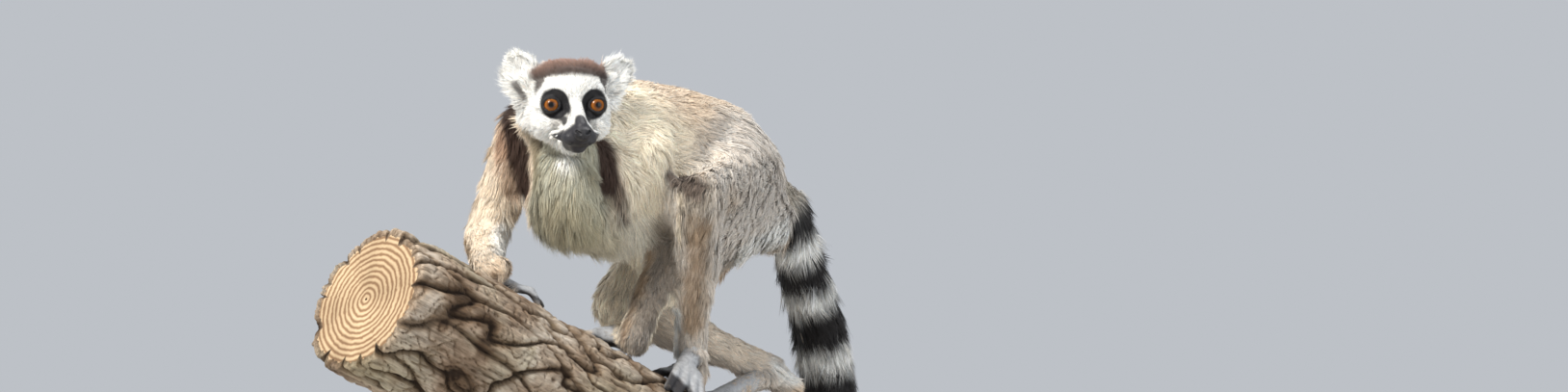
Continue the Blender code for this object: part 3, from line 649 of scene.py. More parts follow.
RINGS = (6, 37, 54, 82, 97, 138, 157, 189, 213, 246, 270, 304, 328, 364, 388, 426, 450, 490, 512)
WHITE_HAIR = tint(242, 241, 236)
BLACK_HAIR = tint(30, 27, 27)
CREAM = tint(240, 228, 205)
TAN = tint(212, 192, 168)
SILVER = tint(209, 201, 191)
BELLY = tint(230, 224, 208)
CHOCOLATE = tint(62, 45, 36)
RUST = tint(156, 116, 90)
ROSE_BEIGE = tint(228, 212, 190)
GREY_BROWN = tint(154, 143, 129)
KNEE_BROWN = tint(98, 85, 76)
DARK_GREY = tint(122, 112, 102)
TAWNY = tint(160, 134, 106)
OLIVE_GREY_IN_PAINTED_SHADE = tint(128, 118, 92)
PALE_BREAST_IN_PAINTED_SHADE = tint(172, 170, 152)
BREAST_SHADE = tint(172, 162, 134)
HAND_GREY = tint(126, 128, 132)
FRONT_LEFT = np.array((0.669, -0.743, 0))
REAR_LEFT = np.array((0.743, 0.669, 0))


def beside(bone, share, forward=0, rearward=0):
    """A place beside a bone: a share of its length down it, then to the front left and the rear left."""
    at = BONE_AT[bone]
    return tuple(
        BONE_START[at] + (BONE_END[at] - BONE_START[at]) * share + FRONT_LEFT * forward + REAR_LEFT * rearward
    )


def strip(colour, bone, first, last, forward, rearward, radius, soft, strength):
    """A mark that runs along a bone's side, from one share of its length to another."""
    return (
        colour, beside(bone, first, forward, rearward), beside(bone, last, forward, rearward), radius, radius,
        soft, strength
    )


# Marks on the body, painted in this order: colour, start, end, radii, softness, strength
MARKS = (
    (CREAM, (46, -60, 500), (50, -40, 440), 46, 44, 44, 0.95),
    (CREAM, (-44, -60, 500), (-50, -30, 440), 42, 42, 44, 0.85),
    (CREAM, (36, -16, 474), (34, 30, 452), 30, 22, 34, 0.85),
    (CREAM, (-50, -16, 474), (-54, 30, 452), 30, 22, 34, 0.85),
    strip(CREAM, "upper_arm_left", 0.0, 1.0, 6, 2, 30, 14, 0.95),
    strip(ROSE_BEIGE, "upper_arm_right", -0.1, 1.0, 0, 0, 36, 14, 0.95),
    strip(ROSE_BEIGE, "forearm_right", 0.0, 0.9, 0, 0, 26, 10, 0.9),
    (SILVER, (40, 76, 474), (66, 6, 462), 44, 24, 30, 0.9),
    (SILVER, (20, 110, 462), (50, 90, 426), 50, 46, 34, 0.95),
    (SILVER, (-50, 90, 460), (-60, 30, 400), 46, 32, 34, 0.95),
    (SILVER, (-10, 135, 470), (-12, 146, 440), 32, 28, 30, 0.85),
    strip(SILVER, "shank_right", 0.0, 1.0, 0, 0, 26, 12, 0.75),
    strip(SILVER, "shank_left", 0.0, 1.0, 0, 0, 28, 12, 0.8),
    (SILVER, (24, 112, 424), (58, -8, 400), 34, 26, 20, 0.9),
    (BELLY, (10, -90, 402), (-8, 50, 398), 32, 32, 24, 0.95),
    (WHITE_HAIR, (30, 124, 408), (44, 56, 388), 15, 13, 14, 0.9),
    (WHITE_HAIR, (-34, 128, 410), (-40, 60, 390), 16, 14, 16, 0.9),
    # Throat and breast: pale fur painted greyer, olive-grey beside the stripes and darker down the chest, as painted
    # shade under the head
    (PALE_BREAST_IN_PAINTED_SHADE, (36, -124, 470), (14, -104, 420), 30, 32, 14, 0.97),
    (WHITE_HAIR, (38, -130, 480), (34, -126, 468), 15, 10, 12, 0.9),
    (OLIVE_GREY_IN_PAINTED_SHADE, (-4, -126, 484), (2, -127, 450), 11, 10, 10, 0.75),
    (OLIVE_GREY_IN_PAINTED_SHADE, (52, -112, 474), (46, -106, 450), 8, 7, 9, 0.65),
    (BREAST_SHADE, (20, -112, 418), (4, -66, 398), 26, 26, 24, 0.75),
    # The stripes down either side of the neck
    (RUST, (-50, -110, 508), (-42, -113, 478), 10, 11, 8, 0.55),
    (RUST, (-42, -113, 478), (-43, -103, 446), 11, 11, 8, 0.55),
    (CHOCOLATE, (-46, -106, 508), (-35, -113, 492), 9, 9.5, 5, 1.0),
    (CHOCOLATE, (-35, -113, 492), (-35, -108, 472), 9.5, 9.5, 5, 1.0),
    (CHOCOLATE, (-35, -108, 472), (-34, -97, 444), 9.5, 8.5, 6, 1.0),
    (RUST, (54, -84, 484), (52, -76, 436), 8, 9, 9, 0.45),
    (CHOCOLATE, (52, -93, 492), (42, -91, 474), 8, 8.5, 7, 1.0),
    (CHOCOLATE, (42, -91, 474), (44, -88, 447), 8.5, 8.5, 8, 1.0),
    (CHOCOLATE, (44, -88, 447), (27, -56, 421), 8.5, 6, 10, 1.0),
    # Right arm
    strip(WHITE_HAIR, "forearm_right", -0.05, 0.8, 8, 12, 11, 7, 0.9),
    (WHITE_HAIR, (-34, -95, 432), (-27, -124, 404), 7, 11, 7, 0.9),
    strip(GREY_BROWN, "forearm_right", -0.12, 0.05, 14, 4, 9, 9, 0.35),
    strip(TAWNY, "forearm_right", 0.72, 1.05, 10, 4, 8, 8, 0.3),
    # Left arm
    strip(GREY_BROWN, "upper_arm_left", 0.80, 1.0, 14, 4, 17, 12, 0.9),
    strip(GREY_BROWN, "forearm_left", 0.02, 1.1, 8, 5, 18, 8, 0.96),
    strip(DARK_GREY, "forearm_left", 0.1, 1.0, 14, 6, 10, 9, 0.6),
    strip(TAWNY, "forearm_left", 0.1, 1.1, 13, -11, 4.5, 7, 0.8),
    strip(CREAM, "forearm_left", -0.05, 1.0, 2, -21, 9, 6, 0.9),
    strip(CREAM, "forearm_left", 0.62, 1.1, -4, 17, 6, 6, 0.8),
    # Left leg
    strip(GREY_BROWN, "shank_left", -0.02, 0.22, 14, -2, 13, 10, 0.85),
    (KNEE_BROWN, (58, -32, 453), (78, -32, 446), 10, 9, 8, 0.92),
    strip(TAWNY, "shank_left", 0.16, 0.85, 14, 1, 9, 10, 0.8),
    strip(GREY_BROWN, "shank_left", 0.25, 0.7, 15, 8, 4, 6, 0.5),
    strip(CREAM, "shank_left", 0.04, 0.4, 12, -19, 5, 4, 0.9),
    strip(WHITE_HAIR, "shank_left", 0.58, 1.1, 5, -12, 6.5, 4, 0.97),
    strip(SILVER, "shank_left", 0.1, 0.9, 4, 18, 8, 6, 0.8),
    (TAN, (76, -24, 466), (50, 30, 486), 10, 14, 14, 0.5),
    # Right leg, seen between the others; its pale knee is painted cream, brighter as painted light where the body
    # shades it
    (CREAM, (-50, 14, 366), (-46, 2, 336), 34, 28, 14, 0.85),
    (TAWNY, (-48, -18, 372), (-44, -16, 344), 8, 8, 9, 0.5),
    (ROSE_BEIGE, (-20, 30, 350), (10, 110, 315), 18, 14, 16, 0.6),
    (WHITE_HAIR, (22, 122, 302), (28, 136, 294), 8, 6, 6, 0.8),
)


def distance_along_tail(points):
    """(distance along the tail, how far each point is from its line in its half widths)."""
    best = np.full(len(points), 1e9)
    found = np.zeros(len(points))
    for (near_at, near), (far_at, far) in zip(TAIL, TAIL[1:]):
        near, line = np.array(near, float), np.array(far, float) - np.array(near, float)
        share = (points - near) @ line / (line @ line)
        share = np.clip(share, -0.8 if near_at == 0 else 0, 1)
        gap = np.linalg.norm(points - (near + share[:, None] * line), axis=1)
        closer = gap < best
        best = np.where(closer, gap, best)
        found = np.where(closer, near_at + share * (far_at - near_at), found)
    return found, best


def over(base, colour, share):
    return base + (colour - base) * share[:, None]


def head_colours(local, colour):
    """The head's markings over the colour that is already there, with a line of painted shade under the left ear."""
    out, back, up = np.abs(local[:, 0]), local[:, 1], local[:, 2]
    colour = over(colour, WHITE_HAIR, np.ones(len(local)))
    grey = rod_mask(local, (0, 62, 20), (0, 66, -20), 34, 30, 20)
    colour = over(colour, tint(176, 162, 146), grey)
    # The cap, its front edge darker than its crown; the crown is painted lighter towards its top, partly as painted
    # light from above
    edge = 23.6 - 0.008 * local[:, 0] ** 2 - 0.12 * np.maximum(back - 10, 0)
    cap = smooth_step(-1.6, 1.4, up - edge) * smooth_step(33, 27, out + np.maximum(0, 20 - up) * 0.35)
    side_strip = rod_mask(np.stack([out, back, up], 1), (25, 13, 19), (29, 18, 7), 4.4, 2.2, 2.6)
    cap = np.maximum(cap, side_strip * 0.9)
    crown = smooth_step(2, 12, up - edge)
    cap_colour = tint(64, 53, 48)[None] + (tint(134, 106, 94) - tint(64, 53, 48))[None] * crown[:, None]
    colour = colour + (cap_colour - colour) * cap[:, None]
    # Greyish fur below the eye, towards the muzzle
    folded = np.stack([out, back, up], 1)
    colour = over(colour, tint(150, 144, 138), rod_mask(folded, (10, -8, -6), (15, -2, -13), 3.5, 3.5, 5) * 0.6)
    # Eye patches
    patch = np.hypot((out - 14.8) / 10.6, (up - 2.0) / 11.8)
    black = smooth_step(1.06, 0.90, patch) * smooth_step(20, 15, back)
    tear = rod_mask(folded, (12, -4, -5), (8.2, -11, -11.5), 4.6, 2.6, 2.4)
    corner = rod_mask(folded, (10, -18, -19), (17, -6, -19.4), 2.6, 0.9, 1.6)
    colour = over(colour, tint(27, 26, 29), np.maximum(np.maximum(black, tear * 0.92), corner * 0.9))
    # Dark skin in the slit of the right ear's cup, and a fainter dark line along the lower edge of the left ear, which
    # is painted shade.
    slit = rod_mask(local, (-41, 29, 15), (-32, 26, 0), 3.0, 2.2, 2.8) + 0.6 * rod_mask(
        local, (46, 30, 17), (37, 28, 6), 1.8, 1.8, 2.4
    )
    return over(colour, tint(70, 62, 58), np.minimum(slit, 1) * 0.85)


def ear_colours(points, colour):
    """Dark skin shows in the slit at the foot of each ear's cup."""
    for side in ("left", "right"):
        local = np.array(ear_frame(side).inverted())
        place = points @ local[:3, :3].T + local[:3, 3]
        white = smooth_step(5.5, 9, place[:, 2]) * smooth_step(26, 21, np.abs(place[:, 0]))
        colour = over(colour, WHITE_HAIR, white)
        slit = rod_mask(place, (-2 * LEFTWARD[side], -3, -4), (-1 * LEFTWARD[side], -2, 10), 4.0, 2.0, 3.0)
        colour = over(colour, tint(70, 58, 54), slit * 0.8)
    return colour


def markings(points):
    """The colour at each place of the skin and the coat, on light's own scale."""
    colour = np.tile(TAN, (len(points), 1))
    body = points  # the head and the tail keep their own crisp edges
    points = points + np.stack([ripple(body, 16, seed) for seed in (51, 52, 53)], axis=1) * 1.5
    for paint, start, end, first, last, soft, strength in MARKS:
        colour = over(colour, paint, rod_mask(points, start, end, first, last, soft) * strength)
    # Hands and feet
    for name in EXTREMITIES:
        row = BONES[BONE_AT[name]]
        strength = 0.85 if "_" in name[5:] and not name.endswith(("_left", "_right")) else 0.12
        colour = over(colour, HAND_GREY, rod_mask(points, row[1], row[2], row[3] + 4, row[4] + 6, 9) * strength)
    # The tail's rings
    points = body
    along, away = distance_along_tail(points)
    along = along + 0.8 * ripple(points, 9, 21)
    on_tail = smooth_step(-22, -12, along) * (away < 34) * (points[:, 1] > 140)
    ring = np.zeros(len(points))
    dark = False
    for place in RINGS:
        dark = not dark
        step = smooth_step(place - 1.6, place + 1.6, along)
        ring = ring * (1 - step) + (1.0 if dark else 0.0) * step
    pale = over(np.tile(WHITE_HAIR, (len(points), 1)), tint(178, 168, 152), smooth_step(20, -6, along))
    tail = over(pale, BLACK_HAIR, ring)
    colour = colour + (tail - colour) * on_tail[:, None]
    # The head
    headward = on_head(points)
    near = headward > 0
    if near.any():
        local = to_head(points[near])
        painted = head_colours(local, colour[near])
        painted = ear_colours(points[near], painted)
        colour[near] = colour[near] + (painted - colour[near]) * headward[near][:, None]
    return np.clip(colour, 0.0, 1.0)


# ---------------------------------------------------------------- the skin
# The whole hide, drawn over the mannequin in one piece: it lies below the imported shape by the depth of
# the coat. Nose, lips and lids are modelled in it, bare and dark. Palms and fingers are thin-haired.

FLESH = [
    "head", "neck", "chest", "abdomen", "rump", "tail_root", "tail_upper", "tail_middle", "tail_lower", "tail_tip"
]
for side in ("left", "right"):
    FLESH.extend(part + side for part in ("upper_arm_", "forearm_", "hand_", "thigh_", "shank_", "foot_", "ear_"))
CLOSING = 0.5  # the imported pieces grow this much, so their clearances close
COARSE_VOXEL = 3.0
FINE_VOXEL = 1.5
SMOOTHING = 18  # rounds of smoothing of the first form
FOLDS = (  # where limbs press against the trunk: start, end, half width, depth
    ((56, -104, 482), (50, -92, 440), 8, 6),
    ((50, -92, 440), (34, -60, 408), 8, 7),
    ((30, -16, 410), (50, -14, 452), 8, 5),
    ((50, -14, 452), (46, -14, 486), 9, 3),
    ((62, -18, 462), (44, 24, 482), 9, 5),
    ((44, 24, 482), (36, 60, 500), 9, 3),
    ((-34, -116, 490), (-40, -104, 446), 7, 5),
)
SKIN_TRIANGLES = 170000


def arrays_of(mesh):
    """(points in millimetres, normals, triangles) of a mesh."""
    mesh.calc_loop_triangles()
    points = np.empty(len(mesh.vertices) * 3, np.float32)
    mesh.vertices.foreach_get("co", points)
    normals = np.empty(len(mesh.vertices) * 3, np.float32)
    mesh.vertex_normals.foreach_get("vector", normals)
    triangles = np.empty(len(mesh.loop_triangles) * 3, np.int32)
    mesh.loop_triangles.foreach_get("vertices", triangles)
    return points.reshape(-1, 3).astype(float) / MM, normals.reshape(-1, 3), triangles.reshape(-1, 3)


def edges_of(mesh):
    edges = np.empty(len(mesh.edges) * 2, np.int32)
    mesh.edges.foreach_get("vertices", edges)
    return edges.reshape(-1, 2)


def relaxed(points, edges, weights, rounds):
    """Moves each point towards the middle of its neighbours, as far as its weight says."""
    both = np.concatenate([edges, edges[:, ::-1]])
    count = np.bincount(both[:, 0], minlength=len(points))
    for _ in range(rounds):
        total = [np.bincount(both[:, 0], points[both[:, 1], axis], len(points)) for axis in range(3)]
        points = points + (np.stack(total, 1) / count[:, None] - points) * weights[:, None]
    return points


def remeshed(mesh, voxel):
    """The mesh wrapped anew by cubes of this size, in millimetres. Only its largest piece is kept."""
    thing = add_object("wrap", mesh)
    wrap = thing.modifiers.new("wrap", "REMESH")
    wrap.mode = "VOXEL"
    wrap.voxel_size = voxel * MM
    made = bpy.data.meshes.new_from_object(thing.evaluated_get(bpy.context.evaluated_depsgraph_get()))
    bpy.data.objects.remove(thing, do_unlink=True)
    edges = edges_of(made)
    # Joined points come to share the lowest of their numbers
    label = np.arange(len(made.vertices))
    while True:
        one, other = label[edges[:, 0]], label[edges[:, 1]]
        differ = one != other
        if not differ.any():
            break
        np.minimum.at(label, np.maximum(one, other)[differ], np.minimum(one, other)[differ])
        while (label[label] != label).any():
            label = label[label]
    names, counts = np.unique(label, return_counts=True)
    if len(names) > 1:
        shape = bmesh.new()
        shape.from_mesh(made)
        drop = np.nonzero(label != names[np.argmax(counts)])[0]
        shape.verts.ensure_lookup_table()
        bmesh.ops.delete(shape, geom=[shape.verts[at] for at in drop], context="VERTS")
        shape.to_mesh(made)
        shape.free()
    return made


def set_points(mesh, points):
    mesh.vertices.foreach_set("co", (points * MM).astype(np.float32).ravel())
    mesh.update()


def unit_ball(around, rings):
    """The points and triangles of a ball of radius 1 about the origin, its poles on Z."""
    rise = np.linspace(0, math.pi, rings + 1)[1:-1]
    spin = np.linspace(0, 2 * math.pi, around, endpoint=False)
    rise, spin = np.meshgrid(rise, spin, indexing="ij")
    points = np.stack([np.sin(rise) * np.cos(spin), np.sin(rise) * np.sin(spin), np.cos(rise)], -1).reshape(-1, 3)
    quads = lattice_faces(rings - 1, around, True)
    top, bottom = len(points), len(points) + 1
    ring, after = np.arange(around), (np.arange(around) + 1) % around
    last = (rings - 2) * around
    caps = [
        np.stack([np.full(around, top), after, ring], 1),
        np.stack([np.full(around, bottom), last + ring, last + after], 1)
    ]
    triangles = np.concatenate([quads[:, [0, 1, 2]], quads[:, [0, 2, 3]], *caps])
    return np.concatenate([points, ((0, 0, 1), (0, 0, -1))]), triangles[:, ::-1]


BALL_POINTS, BALL_TRIANGLES = unit_ball(28, 18)
forms = []  # (points, triangles) of each modelled form


def ball(place, radii, within=Matrix.Identity(4)):
    turn = np.array(within @ Matrix.Translation(place) @ Matrix.Diagonal((*radii, 1)))
    forms.append((BALL_POINTS @ turn[:3, :3].T + turn[:3, 3], BALL_TRIANGLES))


def bar(start, end, start_radius, end_radius, wide=1.0, within=Matrix.Identity(4)):
    """A round bar with domed ends, its width to the side its height times wide."""
    start, end = within @ Vector(start), within @ Vector(end)
    along = (end - start).normalized()
    across = within.col[0].xyz - along * along.dot(within.col[0].xyz)
    if across.length < 0.1:
        across = within.col[1].xyz - along * along.dot(within.col[1].xyz)
    across.normalize()
    third = along.cross(across)
    far = BALL_POINTS[:, 2:] > 0
    middle = np.where(far, np.array(end), np.array(start))
    radius = np.where(far, end_radius, start_radius)
    axes = np.array((across * wide, third, along))
    forms.append((middle + (BALL_POINTS @ axes) * radius, BALL_TRIANGLES))


DIGIT_RADII = (3.9, 3.4, TIP_RADIUS)


def bone_line(name):
    row = BONES[BONE_AT[name]]
    return Vector(row[1]), Vector(row[2])


# The hide's first form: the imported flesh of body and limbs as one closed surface
loose = bmesh.new()
for name in FLESH:
    if name.startswith(("ear_", "head", "hand_", "foot_")):
        continue
    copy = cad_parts[name].data.copy()
    piece = bmesh.new()
    piece.from_mesh(copy)
    bmesh.ops.remove_doubles(piece, verts=piece.verts, dist=0.01 * MM)
    bmesh.ops.recalc_face_normals(piece, faces=piece.faces)
    piece.normal_update()
    grown = [(vert, vert.co + vert.normal * CLOSING * MM) for vert in piece.verts]
    for vert, place in grown:
        vert.co = place
    piece.to_mesh(copy)
    piece.free()
    loose.from_mesh(copy)
joined = bpy.data.meshes.new("flesh")
loose.to_mesh(joined)
loose.free()
hide = remeshed(joined, COARSE_VOXEL)

# It is smoothed, then sunk by the coat's depth, in small steps so that its folds don't cross
points, _, _ = arrays_of(hide)
edges = edges_of(hide)
weights, along, nearest = near_bones(points)
points = relaxed(points, edges, np.full(len(points), 0.5), SMOOTHING)
set_points(hide, points)
_, normals, _ = arrays_of(hide)
normals = relaxed(normals.astype(float), edges, np.full(len(normals), 0.5), 5)
normals /= np.maximum(np.linalg.norm(normals, axis=1, keepdims=True), 1e-9)
depth = blended(weights, 2) + CLOSING - 0.6
depth = relaxed(depth[:, None] * np.ones(3), edges, np.full(len(depth), 0.5), 5)[:, 0]
for start, end, radius, pressed in FOLDS:
    depth = depth + pressed * rod_mask(points, start, end, radius, radius, radius)
for step in range(4):
    points = points - normals * (depth / 4)[:, None]
    points = relaxed(points, edges, np.full(len(points), 0.25), 2)
set_points(hide, points)

# The head, the hands and feet and the ears' cups are modelled, and join it as it is wrapped again
ball((0, 31, 7), (28.5, 32, 23), HEAD)  # braincase
bar((-11, 24, 14), (11, 24, 14), 16, 16, 1, HEAD)  # crown
ball((0, 13, 10.5), (22.5, 15.8, 16), HEAD)  # forehead
ball((0, 24, -20), (20, 18, 13), HEAD)  # throat
bar((0, 38, 2), tuple(HEAD.inverted() @ Vector((6, -58, 490))), 22, 31, 1, HEAD)
bar((0, 26, -20), tuple(HEAD.inverted() @ Vector((16, -84, 466))), 17, 24, 1, HEAD)
bar((0, 8, -13.5), (0, -23.2, -17.8), 11.6, 9.2, 1.08, HEAD)  # muzzle
bar((0, 5, 1.5), (0, -28, -12.6), 7.6, 5.3, 0.95, HEAD)  # bridge of the nose
ball((0, -33, -16.3), (6.4, 5.2, 4.9), HEAD)  # nose pad
bar((0, 16, -25), (0, -17.5, -26.8), 9.8, 5.9, 1.15, HEAD)  # lower jaw
for out in (-1, 1):
    ball((out * 6.4, -21, -20.2), (6.9, 8.7, 6.2), HEAD)  # upper lip
    ball((out * 3.9, -34.0, -15.6), (3.2, 4.2, 3.6), HEAD)  # wing of the nostril
    ball((out * EYE_OUT, EYE_BACK + 2.6, 0), (11.6, 8.6, 11.2), HEAD)  # rim about the eye
    ball((out * 12.5, 9.5, 11.5), (11, 8.2, 6.4), HEAD)  # brow
    ball((out * 17.5, 14, -13), (11.2, 13, 11.2), HEAD)  # cheekbone
    ball((out * 18, 27, -8), (12, 16, 17), HEAD)  # cheek
    ball((out * 21, 37, -7), (12.5, 12, 17), HEAD)  # the ruff behind it
    bar((out * 9, -16, -20.5), (out * 15.5, -5, -20), 4.6, 3.0, 1, HEAD)  # the corner of the mouth
    ball((out * 10, 3, -9.5), (5.5, 7, 6.5), HEAD)  # the side of the nose, below the eye
for side in ("left", "right"):
    turn = ear_frame(side)
    high = (BALL_POINTS[:, 2] + 1) / 2
    across = BALL_POINTS[:, 0] * (15.5 - 9.5 * high ** 1.2)
    into = BALL_POINTS[:, 1] * 2.4 - 0.026 * across ** 2 + 2.2 - 2.0 * high ** 2
    cup = np.stack([across - LEFTWARD[side] * 2.5 * (1 - high), into, BALL_POINTS[:, 2] * 13 + 8.5], axis=1)
    forms.append((cup @ np.array(turn)[:3, :3].T + np.array(turn)[:3, 3], BALL_TRIANGLES))
    root = HEAD.inverted() @ (turn @ Vector((0, 2, 2)))
    out = LEFTWARD[side]
    tip = HEAD.inverted() @ ear_frame(side) @ Vector((0, 1, EAR_REACH - EAR_SKIN_SHORT))
    bar((out * 17, 33, 12), tuple(root), 11, 8.5, 1, HEAD)
    bar((out * 19, 34, 20), tuple(tip), 5.5, 2.8, 1, HEAD)
    bar((out * 31, 34, 2), (out * 39, 36, 16), 6.5, 5, 1, HEAD)
    bar((out * 39, 36, 16), tuple(tip), 5, 2.8, 1, HEAD)
for part, plans, size in (("hand_", HANDS, 1.0), ("foot_", FEET, 1.12)):
    for side, plan in plans.items():
        joint = bone_line(part + side)[0]
        limb = bone_line(("forearm_" if part == "hand_" else "shank_") + side)[0]
        heel, front = (on_perch(*station) for station in plan["palm"])
        bar(joint.lerp(limb, 0.24), joint, 11.0, 10.8)
        bar(joint, heel, 10.2, 9.2)
        bar(heel, front, 8.8, 7.6)
        if "heel" in plan:
            bar(joint, on_perch(*plan["heel"]), 11, 8.4)
        for stations in plan["digits"]:
            places = digit_places(stations)
            bar(front, places[0], 6.6, 4.6 * size)
            for at in range(2):
                bar(places[at], places[at + 1], DIGIT_RADII[at] * size * 0.94, DIGIT_RADII[at + 1] * size)
                ball(places[at], (DIGIT_RADII[at] * size * 1.04,) * 3)
points, _, triangles = arrays_of(hide)
forms.append((points, triangles))
starts = np.cumsum([0] + [len(part[0]) for part in forms])
hide = mesh_from(
    "hide_forms", np.concatenate([part[0] for part in forms]),
    np.concatenate([part[1] + start for part, start in zip(forms, starts)]),
)
hide = remeshed(hide, FINE_VOXEL)

points, _, _ = arrays_of(hide)
edges = edges_of(hide)
local = to_head(points)
weights, along, nearest = near_bones(points)
fine_parts = np.array([row[0].startswith(("hand", "foot", "ear")) for row in BONES])
delicate = weights[:, fine_parts].sum(axis=1)
front = on_head(points) * smooth_step(30, 20, local[:, 1])
points = relaxed(points, edges, 0.5 * (1 - 0.6 * front) * (1 - 0.75 * delicate), 7)
set_points(hide, points)

# Broad triangles will do under the thick coat
thing = add_object("thin", hide)
keep = thing.vertex_groups.new(name="keep")
strength = np.clip(np.maximum(np.maximum(front, delicate), 0.04), 0, 1)
for level in (0.04, 0.5, 1.0):
    chosen = np.nonzero(np.abs(strength - level) <= (0.23 if level < 0.1 else 0.25))[0]
    keep.add([int(at) for at in chosen], level, "REPLACE")
thin = thing.modifiers.new("thin", "DECIMATE")
thin.ratio = SKIN_TRIANGLES / (2 * len(hide.polygons))
thin.vertex_group = "keep"
thin.invert_vertex_group = True
thin.vertex_group_factor = 4.0
thin.use_collapse_triangulate = True
hide = bpy.data.meshes.new_from_object(thing.evaluated_get(bpy.context.evaluated_depsgraph_get()))
bpy.data.objects.remove(thing, do_unlink=True)

# Finer triangles over the face, for lids, nostrils and lips
shape = bmesh.new()
shape.from_mesh(hide)
centre, near_face = HEAD @ Vector((0, -8, -8)), set()
for vert in shape.verts:
    if (vert.co / MM - centre).length < 34 and (HEAD.inverted() @ (vert.co / MM)).y < 12:
        near_face.add(vert)
split = [edge for edge in shape.edges if edge.verts[0] in near_face and edge.verts[1] in near_face]
bmesh.ops.subdivide_edges(shape, edges=split, cuts=1, use_grid_fill=True)
bmesh.ops.triangulate(shape, faces=shape.faces)
shape.to_mesh(hide)
shape.free()
points, _, _ = arrays_of(hide)
edges = edges_of(hide)
local = to_head(points)
front = on_head(points) * smooth_step(14, 8, local[:, 1])
points = relaxed(points, edges, 0.45 * front, 3)
local = to_head(points)

# Lids: the skin about each eye is drawn onto a shell round the eyeball, open in front
LID_OPENING = (40, 30)  # degrees from the gaze to the corners, and to the upper and lower lids
for side in ("left", "right"):
    centre = np.array(HEAD @ Vector((LEFTWARD[side] * EYE_OUT, EYE_BACK, 0)))
    gaze = np.array(aim(*GAZE[side]))
    head_side = np.array(HEAD.col[0].xyz)
    across = head_side - gaze * (gaze @ head_side)
    across /= np.linalg.norm(across)
    upward = np.cross(across, gaze)
    upward *= np.sign(upward[2])
    from_eye = points - centre
    reach = np.linalg.norm(from_eye, axis=1)
    ahead = np.clip(from_eye @ gaze / reach, -1, 1)
    angle = np.degrees(np.arccos(ahead))
    flat = np.arctan2(from_eye @ upward, from_eye @ across)
    opening = 1 / np.hypot(np.cos(flat) / LID_OPENING[0], np.sin(flat) / LID_OPENING[1])
    ratio = angle / opening
    # A crease above the upper lid and a softer one below it
    crease = np.exp(-((ratio - 1.42) / 0.09) ** 2) * np.where(np.sin(flat) > 0, 0.75, 0.45)
    lid = EYE_RADIUS + 1.15 + 0.45 * np.exp(-((ratio - 1.08) / 0.10) ** 2) - crease
    lid = np.where(ratio < 1.0, EYE_RADIUS - 1.6, lid)
    share = (1 - smooth_step(1.45, 1.95, ratio)) * smooth_step(EYE_RADIUS + 5.5, EYE_RADIUS + 2.5, reach)
    points = points + from_eye * ((lid / reach - 1) * share)[:, None]

# Nostrils, the groove between them, and the line of the mouth
local = to_head(points)
out = np.abs(local[:, 0])
folded = np.stack([out, local[:, 1], local[:, 2]], 1)
sunk = 2.3 * rod_mask(folded, (2.6, -38.5, -15.2), (5.6, -36.0, -13.8), 1.15, 0.9, 1.0)
sunk += 0.7 * rod_mask(folded, (0, -40, -13), (0, -34, -25), 0.45, 0.4, 0.9)
MOUTH = ((0, -33.0, -23.2), (5, -30.5, -24.0), (10, -22, -24.6), (13.5, -12, -23.0), (16.5, -4, -20.4))
for start, end in zip(MOUTH, MOUTH[1:]):
    sunk = np.maximum(sunk, 2.2 * rod_mask(folded, start, end, 0.6, 0.5, 1.2))
middle = np.array((0, 2, -14))
inward = middle - local
inward /= np.linalg.norm(inward, axis=1, keepdims=True)
local_moved = local + inward * (sunk * front)[:, None]
turn = np.array(HEAD)
points = np.where(front[:, None] > 0, local_moved @ turn[:3, :3].T + turn[:3, 3], points)
set_points(hide, points)

skin_colour = markings(points)
bare = bare_share(points)
local = to_head(points)
lid_bare = np.zeros(len(points))
for side in ("left", "right"):
    centre = np.array(HEAD @ Vector((LEFTWARD[side] * EYE_OUT, EYE_BACK, 0)))
    gaze = np.array(aim(*GAZE[side]))
    from_eye = points - centre
    reach = np.linalg.norm(from_eye, axis=1)
    angle = np.degrees(np.arccos(np.clip(from_eye @ gaze / reach, -1, 1)))
    lid_bare = np.maximum(lid_bare, smooth_step(56, 50, angle) * (reach < 14))
# Where hair grows, the hide takes the markings at 0.62 of their brightness, painted shade deep in the fur; bare skin
# is dark grey.
skin_colour = over(skin_colour * 0.62, tint(40, 39, 43), bare)
skin_colour = over(skin_colour, tint(22, 20, 22), lid_bare)
dark_lips = bare * rod_mask(np.abs(local) * (1, -1, -1), (0, -30, -22), (14, -6, -22), 5, 4, 5) * 0.6
skin_colour = over(
    skin_colour, tint(26, 25, 28),
    np.maximum(dark_lips, bare * rod_mask(local, (-4, -38, -15), (4, -38, -15), 4, 4, 3))
)
hands = np.zeros(len(points))
for name in EXTREMITIES:
    row = BONES[BONE_AT[name]]
    hands = np.maximum(hands, rod_mask(points, row[1], row[2], row[3] + 2, row[4] + 8, 6))
pads = hands * smooth_step(
    6.5, 4.0, np.linalg.norm(np.cross(points - np.array(PERCH_FRONT), axis), axis=1) - PERCH_RADIUS
)
skin_colour = over(skin_colour, tint(168, 170, 172), hands)
skin_colour = over(skin_colour, tint(44, 42, 44), pads)

colour_layer = hide.color_attributes.new("skin_colour", "FLOAT_COLOR", "POINT")
colour_layer.data.foreach_set("color", np.c_[skin_colour, np.ones(len(points))].astype(np.float32).ravel())
hide.attributes.new("bare", "FLOAT", "POINT").data.foreach_set(
    "value", np.maximum(np.maximum(bare, lid_bare * 0.3), hands * 0.7).astype(np.float32)
)
hide.shade_smooth()

